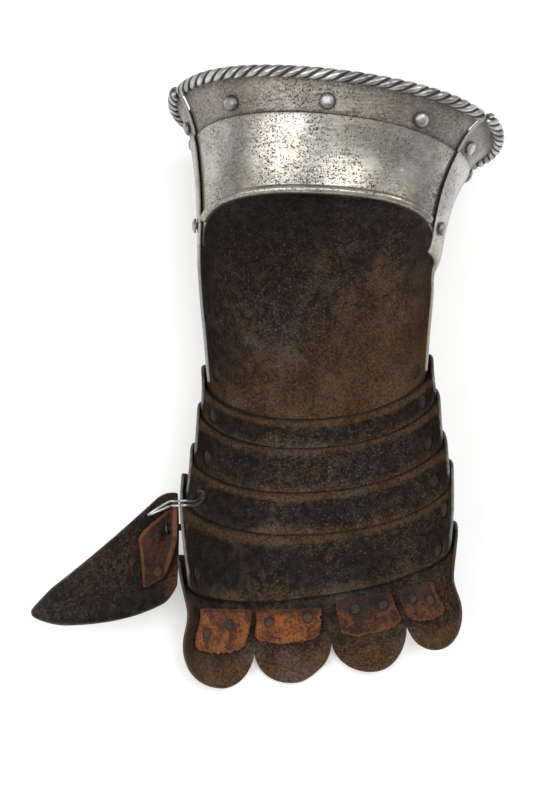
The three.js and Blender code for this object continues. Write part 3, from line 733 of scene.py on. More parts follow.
class Finish:
    """A material, and the nodes that it is made of."""

    def __init__(self, name):
        self.material = bpy.data.materials.new(name)
        self.material.use_nodes = True
        self.tree = self.material.node_tree
        self.tree.nodes.clear()
        self.place = Value(self, self.node("ShaderNodeTexCoord").outputs["Object"])

    def node(self, kind, settings=None, sockets=None):
        """Adds a node, makes its settings, then fills or links its sockets."""
        node = self.tree.nodes.new(kind)
        for name, value in (settings or {}).items():
            setattr(node, name, value)
        for name, value in (sockets or {}).items():
            if isinstance(value, Value):
                self.tree.links.new(value.socket, node.inputs[name])
            else:
                node.inputs[name].default_value = value
        return node

    def maths(self, operation, *values):
        """A Math node on values or numbers."""
        sockets = dict(enumerate(values))
        return Value(self, self.node("ShaderNodeMath", {"operation": operation}, sockets).outputs[0])

    def mark(self, name):
        """One of the marks on the mesh's points."""
        return Value(self, self.node("ShaderNodeAttribute", {"attribute_name": name}).outputs["Fac"])

    def stretched(self, x, y, z):
        """The place, scaled along each axis, so that a noise on it runs in streaks."""
        sockets = {0: self.place, 1: (x, y, z)}
        node = self.node("ShaderNodeVectorMath", {"operation": "MULTIPLY"}, sockets)
        return Value(self, node.outputs[0])

    def noise(self, millimetres, detail=4.0, rough=0.55, bend=0.0, place=None):
        """Cloudy noise whose patches are about this many millimetres across."""
        sockets = {"Vector": place or self.place, "Scale": 1000 / millimetres}
        sockets.update({"Detail": detail, "Roughness": rough, "Distortion": bend})
        return Value(self, self.node("ShaderNodeTexNoise", None, sockets).outputs[0])

    def cells(self, millimetres):
        """Distance to the nearest of scattered points, which makes round pits."""
        sockets = {"Vector": self.place, "Scale": 1000 / millimetres, "Randomness": 1.0}
        return Value(self, self.node("ShaderNodeTexVoronoi", None, sockets).outputs["Distance"])

    def step(self, value, low, high):
        """0 below low and 1 above high, smooth between; low may be the higher one."""
        sockets = {"Value": value, "From Min": low, "From Max": high}
        settings = {"interpolation_type": "SMOOTHSTEP"}
        return Value(self, self.node("ShaderNodeMapRange", settings, sockets).outputs[0])

    def blend(self, share, first, second, kind="MIX"):
        """One colour over another by a share."""
        settings = {"data_type": "RGBA", "blend_type": kind}
        sockets = {0: share, 6: first, 7: second}
        return Value(self, self.node("ShaderNodeMix", settings, sockets).outputs[2])

    def done(self, tint, rough, metal, height, depth, **constants):
        """Joins up the shader. Height is from 0 to 1, and depth is that in metres."""
        dents = {"Height": height, "Distance": depth, "Strength": 1.0}
        normal = Value(self, self.node("ShaderNodeBump", None, dents).outputs[0])
        sockets = {"Base Color": tint, "Roughness": rough, "Metallic": metal, "Normal": normal}
        shader = self.node("ShaderNodeBsdfPrincipled", None, {**sockets, **constants})
        output = self.node("ShaderNodeOutputMaterial")
        self.tree.links.new(shader.outputs[0], output.inputs[0])
        return self.material


def colour(name):
    """One of the panel's colours, with its alpha."""
    return (*getattr(bpy.context.scene.gauntlet_colours, name), 1.0)


def plate_steel(name, polish):
    """Hammered plate. Outside it is steel with cloudy tarnish, dark pits and long rubbed streaks,
    brighter with more polish. Inside it is browned, with rust, a painted cold grey sheen and a few
    painted glints; the rubbed edges carry painted glints too."""
    f = Finish(name)
    inside, worn, grime = f.mark("inside"), f.mark("worn"), f.mark("grime")
    broad = f.noise(48, 3)
    patch = f.noise(15, 6, 0.62, 0.4)
    speck = f.noise(3.2, 5, 0.65)
    grain = f.noise(1.0, 4, 0.7)
    streak = f.noise(1.1, 4, 0.6, place=f.stretched(0.05, 1.0, 1.0))
    smear = f.noise(16, 3, 0.5, place=f.stretched(1.0, 0.25, 0.25))
    pit = f.step(f.cells(1.7) + 0.5 * speck, 0.5, 0.36) * f.step(patch, 0.42, 0.58)
    freckle = f.step(f.noise(0.8, 3, 0.7), 0.55, 0.62) * f.step(patch + 0.4 * (speck - 0.5), 0.36, 0.56)

    bright = f.blend(f.step(patch, 0.3, 0.68), colour("bright_steel"), colour("clouded_steel"))
    bright = f.blend(0.35 + 0.45 * f.step(broad, 0.42, 0.6), bright, colour("tarnish"))
    bright = f.blend(0.55 * f.step(smear, 0.52, 0.66), bright, colour("clouded_steel"))
    bright = f.blend(0.4 * f.step(streak, 0.45, 0.66), bright, colour("bright_steel"))
    bright = f.blend(0.35 * f.step(streak, 0.5, 0.34), bright, colour("clouded_steel"))
    bright = f.blend(0.85 * pit, bright, colour("pit"))
    bright = f.blend(0.55 * freckle, bright, colour("pit"))
    # darker outside with dirt, and with painted shade along the band's step and round the rivets
    bright = f.blend(grime * (0.9 - 0.5 * f.step(grain, 0.5, 0.66)), bright, colour("grime"))
    bright = f.blend((1 - polish) * f.step(patch, 0.15, 0.6), bright, colour("browned_steel"))
    bright = f.blend(0.5 * (1 - polish) * f.step(speck, 0.5, 0.66), bright, colour("rust"))
    # painted glint: bright steel along the rubbed edges, over real wear
    rub_and_glint = f.step(worn + 0.35 * speck, 0.9, 1.15)
    bright = f.blend((0.2 + 0.4 * polish) * rub_and_glint, bright, colour("bright_steel"))

    rusty = f.step(patch + 0.3 * (grime - 0.5) + 0.3 * (speck - 0.5), 0.42, 0.72)
    dark = f.blend(f.step(speck, 0.4, 0.6), colour("black_steel"), colour("browned_steel"))
    dark = f.blend(0.85 * rusty, dark, colour("rust"))
    dusty = f.step(f.noise(22, 4, 0.6), 0.52, 0.62) * f.step(speck, 0.4, 0.6)
    dark = f.blend(0.55 * dusty, dark, colour("dry_steel"))
    dark = f.blend(0.75 * f.step(grime + 0.7 * (patch - 0.5), 0.25, 0.65), dark, colour("dry_steel"))
    fresh = f.step(grain, 0.53, 0.66) * f.step(broad + 0.4 * grime, 0.48, 0.72)
    dark = f.blend(0.8 * fresh, dark, colour("orange_rust"))
    dark = f.blend(0.8 * f.step(grain, 0.5, 0.38), dark, colour("black_steel"))
    # painted sheen: cold grey patches standing in for light reflected off the inner faces
    painted_sheen = f.step(f.noise(30, 3), 0.55, 0.68) * f.step(grain, 0.46, 0.6)
    dark = f.blend(0.45 * painted_sheen, dark, colour("blued_steel"))
    # painted glints: tiny bright specks standing in for light caught inside the plates
    painted_glint = f.step(f.noise(0.9, 2), 0.64, 0.7) * f.step(broad + 0.2 * (1 - grime), 0.56, 0.7)
    dark = f.blend(0.6 * painted_glint, dark, colour("clouded_steel"))
    # painted glint on the inner edges, over real rubbed steel
    dark = f.blend(0.5 * f.step(worn + 0.5 * speck, 1.05, 1.3), dark, colour("rubbed_edge"))

    rough_out = 0.6 - 0.32 * polish + 0.16 * patch + 0.3 * pit
    rough_out = rough_out + 0.2 * grime - 0.1 * streak + 0.15 * freckle
    rough_in = 0.4 + 0.35 * grain + 0.15 * rusty - 0.2 * painted_glint
    metal_out = 0.95 - 0.5 * pit - 0.35 * grime - 0.45 * (1 - polish)
    metal_in = 0.6 - 0.5 * rusty
    out = 1 - inside
    height = out * (0.6 - 0.45 * pit - 0.2 * freckle + 0.06 * streak)
    height = height + inside * (0.6 * speck + 1.2 * grain)
    return f.done(
        f.blend(inside, bright, dark),
        out * rough_out + inside * rough_in,
        out * metal_out + inside * metal_in,
        height,
        0.0009,
    )


def rope_finish(name):
    """Bright on the crests of the strands, with black dirt down in the grooves."""
    f = Finish(name)
    worn, grime = f.mark("worn"), f.mark("grime")
    patch, speck = f.noise(9, 5, 0.6), f.noise(1.6, 4)
    tint = f.blend(f.step(patch, 0.35, 0.65), colour("clouded_steel"), colour("bright_steel"))
    tint = f.blend(0.45 * f.step(speck, 0.55, 0.7), tint, colour("tarnish"))
    dirt = f.step(grime + 0.3 * (speck - 0.5), 0.3, 0.75)
    tint = f.blend(0.93 * dirt, tint, colour("black_steel"))
    return f.done(tint, 0.26 + 0.2 * patch + 0.3 * dirt, 0.95 - 0.6 * dirt, speck + 0.4 * worn, 0.00012)


def rivet_finish(name):
    """Rubbed bright on the domes outside, browned and dull on the heads inside; both go darker
    towards the rim with dirt and painted shade.
    """
    f = Finish(name)
    inside, worn, grime = f.mark("inside"), f.mark("worn"), f.mark("grime")
    patch, speck = f.noise(6, 4), f.noise(1.2, 4)
    tint = f.blend(f.step(patch, 0.35, 0.65), colour("clouded_steel"), colour("bright_steel"))
    # dirt and painted shade towards each dome's rim
    tint = f.blend(0.7 * f.step(grime + 0.4 * speck, 0.75, 1.1), tint, colour("grime"))
    dark = f.blend(f.step(speck, 0.4, 0.62), colour("black_steel"), colour("browned_steel"))
    dark = f.blend(0.5 * f.step(patch, 0.45, 0.62), dark, colour("rust"))
    # painted shade: a black ring round the rim of each inner head
    dark = f.blend(0.8 * f.step(grime, 0.7, 0.88), dark, colour("black_steel"))
    dark = f.blend(0.1 * worn * patch, dark, colour("clouded_steel"))
    return f.done(
        f.blend(inside, tint, dark),
        0.3 + 0.2 * patch + 0.35 * inside,
        0.95 - 0.75 * inside,
        speck,
        0.0003,
    )


def napped_leather(name, light, dark):
    """Suede: cloudy from light to dark with fine nap, pale where rubbed, and darkened towards black
    by the grime mark, which is painted shade on the finger leathers and dirt on the thumb's.
    """
    f = Finish(name)
    worn, grime = f.mark("worn"), f.mark("grime")
    patch, nap, fibre = f.noise(7, 5, 0.6, 0.8), f.noise(1.1, 5, 0.7, 0.5), f.noise(0.45, 3, 0.7)
    tint = f.blend(f.step(patch + 1.1 * (nap - 0.5), 0.36, 0.7), dark, light)
    tint = f.blend(0.4 * f.step(fibre, 0.52, 0.7), tint, light)
    # painted shade on the finger leathers, dirt on the thumb's leather
    tint = f.blend(0.6 * f.step(grime + 0.4 * (patch - 0.5), 0.35, 1.0), tint, colour("black_steel"))
    tint = f.blend(0.35 * f.step(worn + 0.5 * nap, 0.9, 1.3), tint, colour("pale_leather"))
    height = 0.7 * nap + 0.4 * fibre + 0.5 * patch
    fuzz = {"Sheen Weight": 0.06, "Sheen Roughness": 0.5, "Specular IOR Level": 0.25}
    return f.done(tint, 0.8 + 0.15 * nap, 0.0, height, 0.0012, **fuzz)


def wire_finish(name):
    """Plain wire, dull in places."""
    f = Finish(name)
    patch, speck = f.noise(3, 3), f.noise(0.8, 3)
    tint = f.blend(f.step(patch, 0.45, 0.7), colour("bright_steel"), colour("clouded_steel"))
    return f.done(tint, 0.26 + 0.2 * patch, 0.95, speck, 0.00004)


finishes = {}


def finish(name, make, *settings):
    """The material of that name, made the first time that it is asked for."""
    if name not in finishes:
        finishes[name] = make(name, *settings)
    return finishes[name]


# ---------------------------------------------------------------------------------------------
# What the panel sets


def length(label, about, millimetres):
    """A length for the panel."""
    return bpy.props.FloatProperty(
        name=label,
        description=about,
        default=millimetres * MM,
        precision=5,
        unit="LENGTH",
        subtype="DISTANCE",
    )


def tone(label, about, *rgb):
    """A colour for the panel."""
    return bpy.props.FloatVectorProperty(
        name=label, description=about, default=rgb, size=3, min=0, max=1, subtype="COLOR"
    )


class GauntletSizes(bpy.types.PropertyGroup):
    """The sizes that a user would change"""

    plate: length("Plate", "Thickness of every steel plate", 1.1)
    band_depth: length("Band depth", "How far the band under the rim is sunk", 0.9)
    rope_radius: length("Rope radius", "Radius of the roped rim over its strands", 2.6)
    strand_lead: length("Strand lead", "Length along the rim in which a strand goes round once", 16.0)
    groove_depth: length("Groove depth", "Depth of the cut between two strands", 0.85)
    roll_radius: length("Roll radius", "Radius of the rolled edge over the wrist", 1.88)
    rivet_head: length("Rivet head", "Radius of the plain rivets' heads", 3.05)
    dome_head: length("Dome head", "Radius of the domed rivets round the cuff", 3.45)
    dome_back: length("Dome back", "Radius of the domed rivets' heads inside", 2.55)
    tab_leather: length("Finger leather", "Thickness of the leather tabs on the knuckles", 2.1)
    thumb_leather: length("Thumb leather", "Thickness of the thumb plate's leather", 1.8)
    wire: length("Wire radius", "Radius of the wire through the empty pivot hole", 0.48)
    ripple: length("Hammering", "Depth of the shallow hollows left by the hammer", 0.16)


class GauntletColours(bpy.types.PropertyGroup):
    """The colours that a user would change"""

    bright_steel: tone("Bright steel", "Rubbed and polished steel", 0.56, 0.55, 0.515)
    clouded_steel: tone("Clouded steel", "Steel that has gone grey", 0.22, 0.215, 0.2)
    tarnish: tone("Tarnish", "The olive tint on the cuff", 0.34, 0.31, 0.225)
    pit: tone("Pits", "Inside the pits of the cuff", 0.035, 0.028, 0.021)
    # dirt, and painted shade on the domes' rims, round the rivets and along the band's step
    grime: tone("Grime", "Dirt in the band and the corners", 0.075, 0.062, 0.045)
    dry_steel: tone("Dry steel", "Paler, dusty patches inside the plates", 0.108, 0.058, 0.026)
    browned_steel: tone("Browned steel", "Old brown inside the plates", 0.04, 0.026, 0.016)
    # black scale inside the plates; also painted as shade on the leathers and the inner rivet heads
    black_steel: tone("Black steel", "Nearly black scale inside the plates", 0.0105, 0.008, 0.0062)
    # painted sheen colour for the inner faces
    blued_steel: tone("Blued steel", "Cold grey glints inside the plates", 0.085, 0.088, 0.095)
    rust: tone("Rust", "Brown rust", 0.095, 0.044, 0.017)
    orange_rust: tone("Orange rust", "Fresh specks of rust", 0.24, 0.1, 0.03)
    # rubbed steel on the plates' edges, also used as a painted glint
    rubbed_edge: tone("Rubbed edge", "Steel showing on the plates' edges", 0.3, 0.28, 0.25)
    suede: tone("Suede", "The lighter finger leathers", 0.3, 0.098, 0.028)
    suede_shade: tone("Suede shade", "The lighter leathers where they are dirty", 0.06, 0.02, 0.009)
    old_leather: tone("Old leather", "The darker finger leathers", 0.15, 0.052, 0.019)
    old_leather_shade: tone(
        "Old leather shade", "The darker leathers where they are dirty", 0.026, 0.013, 0.008
    )
    pale_leather: tone("Pale leather", "Frayed edges of the leather", 0.4, 0.15, 0.045)
    floor: tone("Floor", "The plain floor", 0.93, 0.93, 0.93)


# ---------------------------------------------------------------------------------------------
# The pieces


def back_edges(at):
    """Angles of the back plate's right and left edges at a station: 95 degrees beside the hand,
    and the seams' angles on the cuff."""
    right = mix(SIDE_EDGE, RIGHT_SEAM, ramp(at, TAB_END - 0.4, TAB_END + 0.4))
    return right, mix(SIDE_EDGE, LEFT_SEAM, ramp(at, TAB_END - 6, TAB_END + 16))


PALM_LEFT = LEFT_SEAM - 180
PALM_RIGHT = 180 - RIGHT_SEAM


def arch_edge(degrees):
    """The palm plate's lower edge: its top less the drop times the 3.5th power of the share of
    the way to the plate's side."""
    end = np.abs(degrees) / (UNDERLAP + np.where(degrees < 0, -PALM_LEFT, PALM_RIGHT))
    return ARCH_TOP - ARCH_DROP * end**3.5


def band_dirt_and_shade(at):
    """Dirt over the sunk band, painted shade along its step, and darker just under the rope."""
    # painted shade: a dark line along the band's step
    step_shade = np.exp(-(((at - BAND_STEP - BAND_RAMP / 2) / 0.9) ** 2))
    return np.clip(0.62 * ramp(at, 104.8, 106) + 0.8 * step_shade + 0.5 * ramp(at, 116, 119.5), 0, 1)


def from_rivets(face, name, spots):
    """The distance from each point to the nearest of a plate's rivets."""
    places = [site(name, *spot, 0)[0] for spot in spots]
    return np.min([np.linalg.norm(face - place, axis=-1) for place in places], axis=0)


def rivet_dirt_and_shade(face, name, spots):
    """Dirt and painted shade round the rivets: a bell curve of the distance outside each head."""
    outside = np.maximum(from_rivets(face, name, spots) - 3.2, 0)
    return 0.9 * np.exp(-((outside / 1.1) ** 2))


def corner(s, width, drop):
    """A quarter circle over the last part of a side: drop times one less its height."""
    share = np.maximum(np.abs(s) - 1 + width, 0) / width
    return drop * (1 - np.sqrt(np.clip(1 - share * share, 0, 1)))


def along(first, last, count):
    """Even steps from first to last."""
    return np.linspace(first, last, count)


class GAUNTLET_OT_cuff(bpy.types.Operator):
    """Builds the back plate and the palm plate"""

    bl_idname = "gauntlet.cuff"
    bl_label = "Cuff Plates"

    def execute(self, context):
        steel = finish("cuff_steel", plate_steel, 1.0)
        band = along(106.1, 104.7, 9)
        tab = [59.4, 59, 58.6]
        rows = [along(RIM_AT, 106.4, 15), band, along(104.2, 59.6, 46), tab, along(57.6, 10, 50)]
        at = np.concatenate(rows)[:, None]
        share = along(-1, 1, 171)[None, :]
        right, left = back_edges(at)
        reach = np.where(share < 0, left, right)
        away = np.abs(share)
        beyond = mix(SIDE_FROM, reach, (away - 0.8) / 0.2)
        angle = np.where(away < 0.8, away / 0.8 * SIDE_FROM, beyond)
        u = np.radians(angle * np.sign(share))
        face = SKINS["back_plate"][0](u, at)
        grime = np.maximum(band_dirt_and_shade(at), rivet_dirt_and_shade(face, "back_plate", BACK_RIVETS))
        # darker outside near the side edges below the cuff
        grime = np.maximum(grime, 0.95 * ramp(away, 0.86, 0.93) * ramp(at, 62, 56))
        # inside, rustier towards the right and the hand's end, darker brown towards the left and the rim
        stain = np.clip(0.32 + 0.35 * share - 0.4 * (at - 60) / 50, 0, 1)
        # bright rim at the sides; the lower edge keeps a quarter of it, real wear and a painted glint
        bare = np.clip(ramp(away, 0.9, 1) + ramp(at, 12, 20), 0.25, 1)
        marks = {"grime": grime, "stain": stain, "bare": bare}
        back = plate(*SKINS["back_plate"], u, at, size("plate"), **marks)
        lay_down("back_plate_steel", "cuff", ["back_plate"], [back], steel)

        columns = [
            along(PALM_LEFT - UNDERLAP, PALM_LEFT + 0.4, 14),
            along(PALM_LEFT + 1.4, PALM_RIGHT - 1.4, 120),
            along(PALM_RIGHT - 0.4, PALM_RIGHT + UNDERLAP, 14),
        ]
        degrees = np.concatenate(columns)[None, :]
        tongue = (degrees < PALM_LEFT + 1) | (degrees > PALM_RIGHT - 1)
        low, top = arch_edge(degrees), np.where(tongue, TONGUE_TOP, RIM_AT)
        rows = [
            mix(low, 104.4, along(0, 1, 34)[:, None]),
            band[::-1, None] + 0 * low,
            mix(106.4, top, along(0, 1, 15)[:, None]),
        ]
        at = np.concatenate(rows)
        u = np.radians(degrees)
        grime = np.maximum(band_dirt_and_shade(at), rivet_dirt_and_shade(palm_skin(u, at), "palm_plate", PALM_RIVETS))
        palm = plate(*SKINS["palm_plate"], u, at, size("plate"), grime=grime)
        lay_down("palm_plate_steel", "cuff", ["palm_plate"], [palm], steel)
        return {"FINISHED"}


class GAUNTLET_OT_ropes(bpy.types.Operator):
    """Builds the roped rims and the rolled edge over the wrist"""

    bl_idname = "gauntlet.ropes"
    bl_label = "Roped Rims"

    def execute(self, context):
        steel = finish("rope_steel", rope_finish)
        back_skin, facing = SKINS["back_plate"]
        u, rim = np.radians(along(-LEFT_SEAM, RIGHT_SEAM, 900)), np.full(900, RIM_BEAD_AT)
        up = normal_of(back_skin, u, rim, facing)
        back = bead(back_skin(u, rim), up, size("rope_radius"), strands=3)
        lay_down("back_rope", "cuff", ["back_plate"], [back], steel)
        u, rim = np.radians(along(PALM_LEFT + 1.4, PALM_RIGHT - 1.4, 640)), np.full(640, RIM_BEAD_AT)
        palm = bead(palm_skin(u, rim), normal_of(palm_skin, u, rim, 1), size("rope_radius"), strands=3)
        lay_down("palm_rope", "cuff", ["palm_plate"], [palm], steel)
        degrees = along(PALM_LEFT + 3, PALM_RIGHT - 3, 160)
        u, at = np.radians(degrees), arch_edge(degrees) + 1.14
        out = normal_of(palm_skin, u, at, 1)
        roll = bead(palm_skin(u, at) + 0.19 * out, out, size("roll_radius"), sides=28)
        edge = finish("cuff_steel", plate_steel, 1.0)
        lay_down("wrist_roll", "cuff", ["palm_plate"], [roll], edge)
        return {"FINISHED"}


class GAUNTLET_OT_lames(bpy.types.Operator):
    """Builds the four lames over the hand"""

    bl_idname = "gauntlet.lames"
    bl_label = "Lames"

    def execute(self, context):
        steel = finish("hand_steel", plate_steel, 0.35)
        s = along(-1, 1, 181)[None, :]
        s = 0.45 * s + 0.55 * np.sin(s * np.pi / 2)
        t = along(0, 1, 48)[:, None]
        start, out, _reach = laced_hole()
        above = 10
        for name, (upper, lower, drop) in LAMES.items():
            high = upper - corner(s, EAR_WIDTH, np.where(s < 0, drop[0], drop[1]))
            at = mix(high, lower + corner(s, FOOT_WIDTH, FOOT_RISE), t)
            angle = np.radians(s * SIDE_EDGE)
            hole = (start, out, LACED_RADIUS) if name in PIVOTS[LACED][:2] else None
            shown = (upper - above) / (upper - lower)
            stain = 0.5 * ramp(t, 0.75, 1) + np.exp(-(((t - shown) / 0.1) ** 2)) + 0 * s
            # bright rim at the sides; the upper and lower edges keep some, real wear and a painted glint
            bare = np.clip(0.9 * ramp(np.abs(s), 0.9, 1) + 0 * t, 0.3, 1)
            marks = {"grime": 0.4 * stain, "stain": stain, "bare": bare, "wear": 1.0}
            lame = plate(*SKINS[name], angle, at, size("plate"), hole=hole, **marks)
            above = lower
            lay_down(name + "_steel", name, [name], [lame], steel)
        return {"FINISHED"}


class GAUNTLET_OT_knuckles(bpy.types.Operator):
    """Builds the knuckle plate with its four lobes"""

    bl_idname = "gauntlet.knuckles"
    bl_label = "Knuckle Plate"

    def execute(self, context):
        steel = finish("hand_steel", plate_steel, 0.35)
        crowd = 0.5 - 0.5 * np.cos(along(0, 1, 45) * np.pi)
        spans = [mix(low, high, crowd) for low, _peak, high, *_rest in LOBES]
        spans[1:] = [span[1:] for span in spans[1:]]
        degrees = np.concatenate(spans)[None, :]
        side = np.where(degrees < 0, LOBES[0][0], LOBES[-1][2])
        share = degrees / side
        drop = np.where(degrees < 0, KNUCKLE_DROP[0], KNUCKLE_DROP[1])
        t = along(0, 1, 64)[:, None]
        at = mix(KNUCKLE_TOP - corner(share, EAR_WIDTH, drop), knuckle_edge(degrees), t)
        reach = mix(SIDE_EDGE, np.abs(side), ramp(-at, 56, 84))
        u = np.radians(share * np.sign(side) * reach)
        marks = {"grime": mix(0.35, 0.8, ramp(-at, 84, 100)), "bare": 0.6, "wear": 1.0}
        knuckles = plate(*SKINS["knuckle_plate"], u, at, size("plate"), **marks)
        lay_down("knuckle_steel", "knuckles", ["knuckle_plate"], [knuckles], steel)
        return {"FINISHED"}


class GAUNTLET_OT_thumb(bpy.types.Operator):
    """Builds the thumb plate"""

    bl_idname = "gauntlet.thumb"
    bl_label = "Thumb Plate"

    def execute(self, context):
        steel = finish("hand_steel", plate_steel, 0.35)
        tip = 0.82 + 0.18 * np.sin(along(0, np.pi / 2, 22)[1:])
        p = np.concatenate([along(0, 0.82, 70), tip])[:, None]
        q = along(1, -1, 70)[None, :] * thumb_width(p)
        marks = {"grime": 0.8 * ramp(p, 0.25, 0) + 0 * q, "bare": 0.6, "wear": 1.0}
        thumb = plate(thumb_skin, 1, p, q, size("plate"), stride=0.02, **marks)
        lay_down("thumb_steel", "lame_4", ["thumb_plate"], [thumb], steel)
        return {"FINISHED"}


def ragged(angle, seed):
    """A torn edge from -1 to 1: the mean of five seeded sine waves along it."""
    random = np.random.default_rng(seed)
    turns, start = random.uniform(1, 9, 5), random.uniform(0, 6.3, 5)
    return np.sin(np.asarray(angle)[..., None] * turns * 2 * np.pi + start).mean(-1)


class GAUNTLET_OT_leathers(bpy.types.Operator):
    """Builds the four finger leathers and the thumb plate's leather"""

    bl_idname = "gauntlet.leathers"
    bl_label = "Leathers"

    def execute(self, context):
        light = finish("suede", napped_leather, colour("suede"), colour("suede_shade"))
        old = colour("old_leather"), colour("old_leather_shade")
        dark = finish("old_leather", napped_leather, *old)
        s, t = along(0, 1, 84)[None, :], along(0, 1, 64)[:, None]
        depth = size("plate") + TAB_GAP
        for k, (corners, pair) in enumerate(FINGER_TABS):
            a, b, c, d = (np.array(point, float) for point in corners)
            degrees = mix(mix(a[0], b[0], s), mix(d[0], c[0], s), t) + 0.5 * ragged(t, k) * (1 - 2 * s)
            at = mix(mix(a[1], b[1], s), mix(d[1], c[1], s), t)
            at = at + (2.4 * t - 0.8 * (1 - t)) * corner(2 * s - 1, 0.4, 1)
            at = at - 1.2 * np.sin(np.pi * s) * t
            at = at + 0.8 * t * ragged(s, 10 + k) - 0.3 * (1 - t) * ragged(s, 20 + k)
            u = np.radians(degrees)
            face = knuckle_skin(u, at)
            away = from_rivets(face, "knuckle_plate", pair)
            swell = 1.5 * (1 - np.exp(-edge_distance(face) / 1.4))
            swell = swell * (1 - np.exp(-((away / 3.4) ** 2)))
            rumple = 0.6 * hammering(face * 5, 30 + k)
            thick = size("tab_leather") - 0.7 + swell + rumple
            # painted shade: darker towards the top, under the lame above, and in the hollows round the
            # rivets
            above = 0.8 * ramp(t, 0.35, 0) if k < 2 else 1.1 * ramp(t, 0.7, 0.1)
            shade = np.clip(above + 0.6 * np.exp(-((away / 3.4) ** 2)), 0, 1)
            tab = plate(knuckle_skin, -1, u, at, thick, inset=depth, grime=shade, rounds=9)
            leather = light if k < 2 else dark
            name, node = f"finger_leather_{k + 1}", f"finger_tab_{k + 1}"
            lay_down(name, "knuckles", [node], [tab], leather)
        t, q = along(0, 1, 90)[:, None], along(1, -1, 60)[None, :]
        q = q * (1 - 0.03 * (1 + ragged(t, 40)) - 0.18 * corner(2 * t - 1, 0.3, 1))
        marks = {"grime": 0.62, "rounds": 9}
        tab = plate(thumb_tab_skin, 1, t + 0 * q, q, size("thumb_leather"), stride=0.02, **marks)
        lay_down("thumb_leather", "lame_4", ["thumb_tab"], [tab], dark)
        return {"FINISHED"}


class GAUNTLET_OT_rivets(bpy.types.Operator):
    """Builds every rivet: the cuff's domes, the pivots, and those through the leathers"""

    bl_idname = "gauntlet.rivets"
    bl_label = "Rivets"

    def execute(self, context):
        steel = finish("turned_rivets", rivet_finish)
        dome, dome_back = size("dome_head"), size("dome_back")
        riders = frame["record"]["behaviour"]["bodies"]
        sets = {name: ([], []) for name in frame["bodies"]}

        def add(body, node, made):
            sets[body][0].append(node)
            sets[body][1].append(made)

        for k, spot in enumerate(SEAM_RIVETS):
            add("cuff", f"seam_rivet_{k + 1}", rivet_through(("palm_plate", "back_plate"), *spot))
        for label, spots in (("palm", PALM_RIVETS), ("back", BACK_RIVETS)):
            for k, spot in enumerate(spots):
                made = rivet_through((f"{label}_plate",), *spot, dome, dome_back, rise=2.2)
                add("cuff", f"{label}_rivet_{k + 1}", made)
        for k, (inner, outer, left, right) in enumerate(PIVOTS):
            for side, spot in (("a", left), ("b", right)):
                if k == LACED and side == "a":
                    continue
                node = f"pivot_rivet_{k + 1}{side}"
                body = next(name for name, nodes in riders.items() if node in nodes)
                add(body, node, rivet_through((inner, outer), *spot))
        add("lame_4", "lame_rivet", rivet_through(("lame_4",), *LAME_RIVET, 2.75, 3.5))
        spots = [spot for _corners, pair in FINGER_TABS for spot in pair]
        for k, spot in enumerate(spots):
            made = rivet_through(("knuckle_plate",), *spot, 2.55, 2.25, size("tab_leather"))
            add("knuckles", f"tab_rivet_{k + 1}", made)
        for k, (p, q) in enumerate(THUMB_RIVETS):
            p, q = np.array(p), np.array(q)
            out = normal_of(thumb_skin, p, q, 1, 0.02)
            stack = size("plate") + TAB_GAP + size("thumb_leather")
            made = rivet(thumb_skin(p, q) - stack * out, out, stack, 2.75, 2.35)
            add("lame_4", f"thumb_rivet_{k + 1}", made)
        start, out = site("lame_4", *TAB_RIVET, size("plate"))
        stack = pierce(thumb_tab_skin, start, out, 0.15, 0.3) + size("thumb_leather") + 1.2
        add("lame_4", "thumb_tab_rivet", rivet(start, out, stack, 2.55, 2.25))
        for body, (nodes, made) in sets.items():
            if made:
                lay_down(f"{body}_rivets", body, nodes, made, steel)
        return {"FINISHED"}


class GAUNTLET_OT_wire(bpy.types.Operator):
    """Builds the loop of wire that laces the thumb plate's leather"""

    bl_idname = "gauntlet.wire"
    bl_label = "Wire Loop"

    def execute(self, context):
        start, out, stack = laced_hole()
        across = np.cross([0, 1, 0], out)
        across /= np.linalg.norm(across)
        strands = []
        for sign in (1, -1):
            beside = start + across * WIRE_SPREAD * sign
            ends = [beside + out * (stack + WIRE_OUTSIDE), beside - out * WIRE_INSIDE]
            strands.append(np.array(ends + [(x, y + WIRE_APART * sign, z) for x, y, z in WIRE_PATH]))
        knots = np.concatenate([strands[0], [WIRE_END], strands[1][::-1]])
        share = along(0, len(knots), 301)[:-1]
        i = share.astype(int)
        picked = [knots[(i + k) % len(knots)] for k in (-1, 0, 1, 2)]
        path = catmull(*picked, (share - i)[:, None])
        way = np.roll(path, -1, 0) - np.roll(path, 1, 0)
        way /= np.linalg.norm(way, axis=1, keepdims=True)
        up = np.cross(way, np.roll(way, -12, 0) - np.roll(way, 12, 0) + [0.3, 0.2, 0.1])
        up /= np.linalg.norm(up, axis=1, keepdims=True)
        for _smooth in range(40):
            up = np.roll(up, 1, 0) + 2 * up + np.roll(up, -1, 0)
            up -= np.einsum("ij,ij->i", up, way)[:, None] * way
            up /= np.linalg.norm(up, axis=1, keepdims=True)
        side = np.cross(way, up)
        angle = along(0, 2 * np.pi, 13)[None, :-1, None]
        ring = up[:, None] * np.cos(angle) + side[:, None] * np.sin(angle)
        loop = turned(path[:, None] + size("wire") * ring, closed=True)
        wire = finish("drawn_wire", wire_finish)
        lay_down("wire_lacing", "lame_4", ["wire_loop"], [loop], wire)
        return {"FINISHED"}


def floor_finish(name):
    """Matt pale paint with a faint cloud in it."""
    f = Finish(name)
    cloud = f.noise(900, 2)
    pale = colour("floor")
    tint = f.blend(cloud, pale, tuple(0.99 * c for c in pale))
    lit = {"Emission Color": (1, 1, 1, 1), "Emission Strength": 0.22}
    return f.done(tint, 0.85 + 0.05 * cloud, 0.0, cloud, 0.0001, **lit)


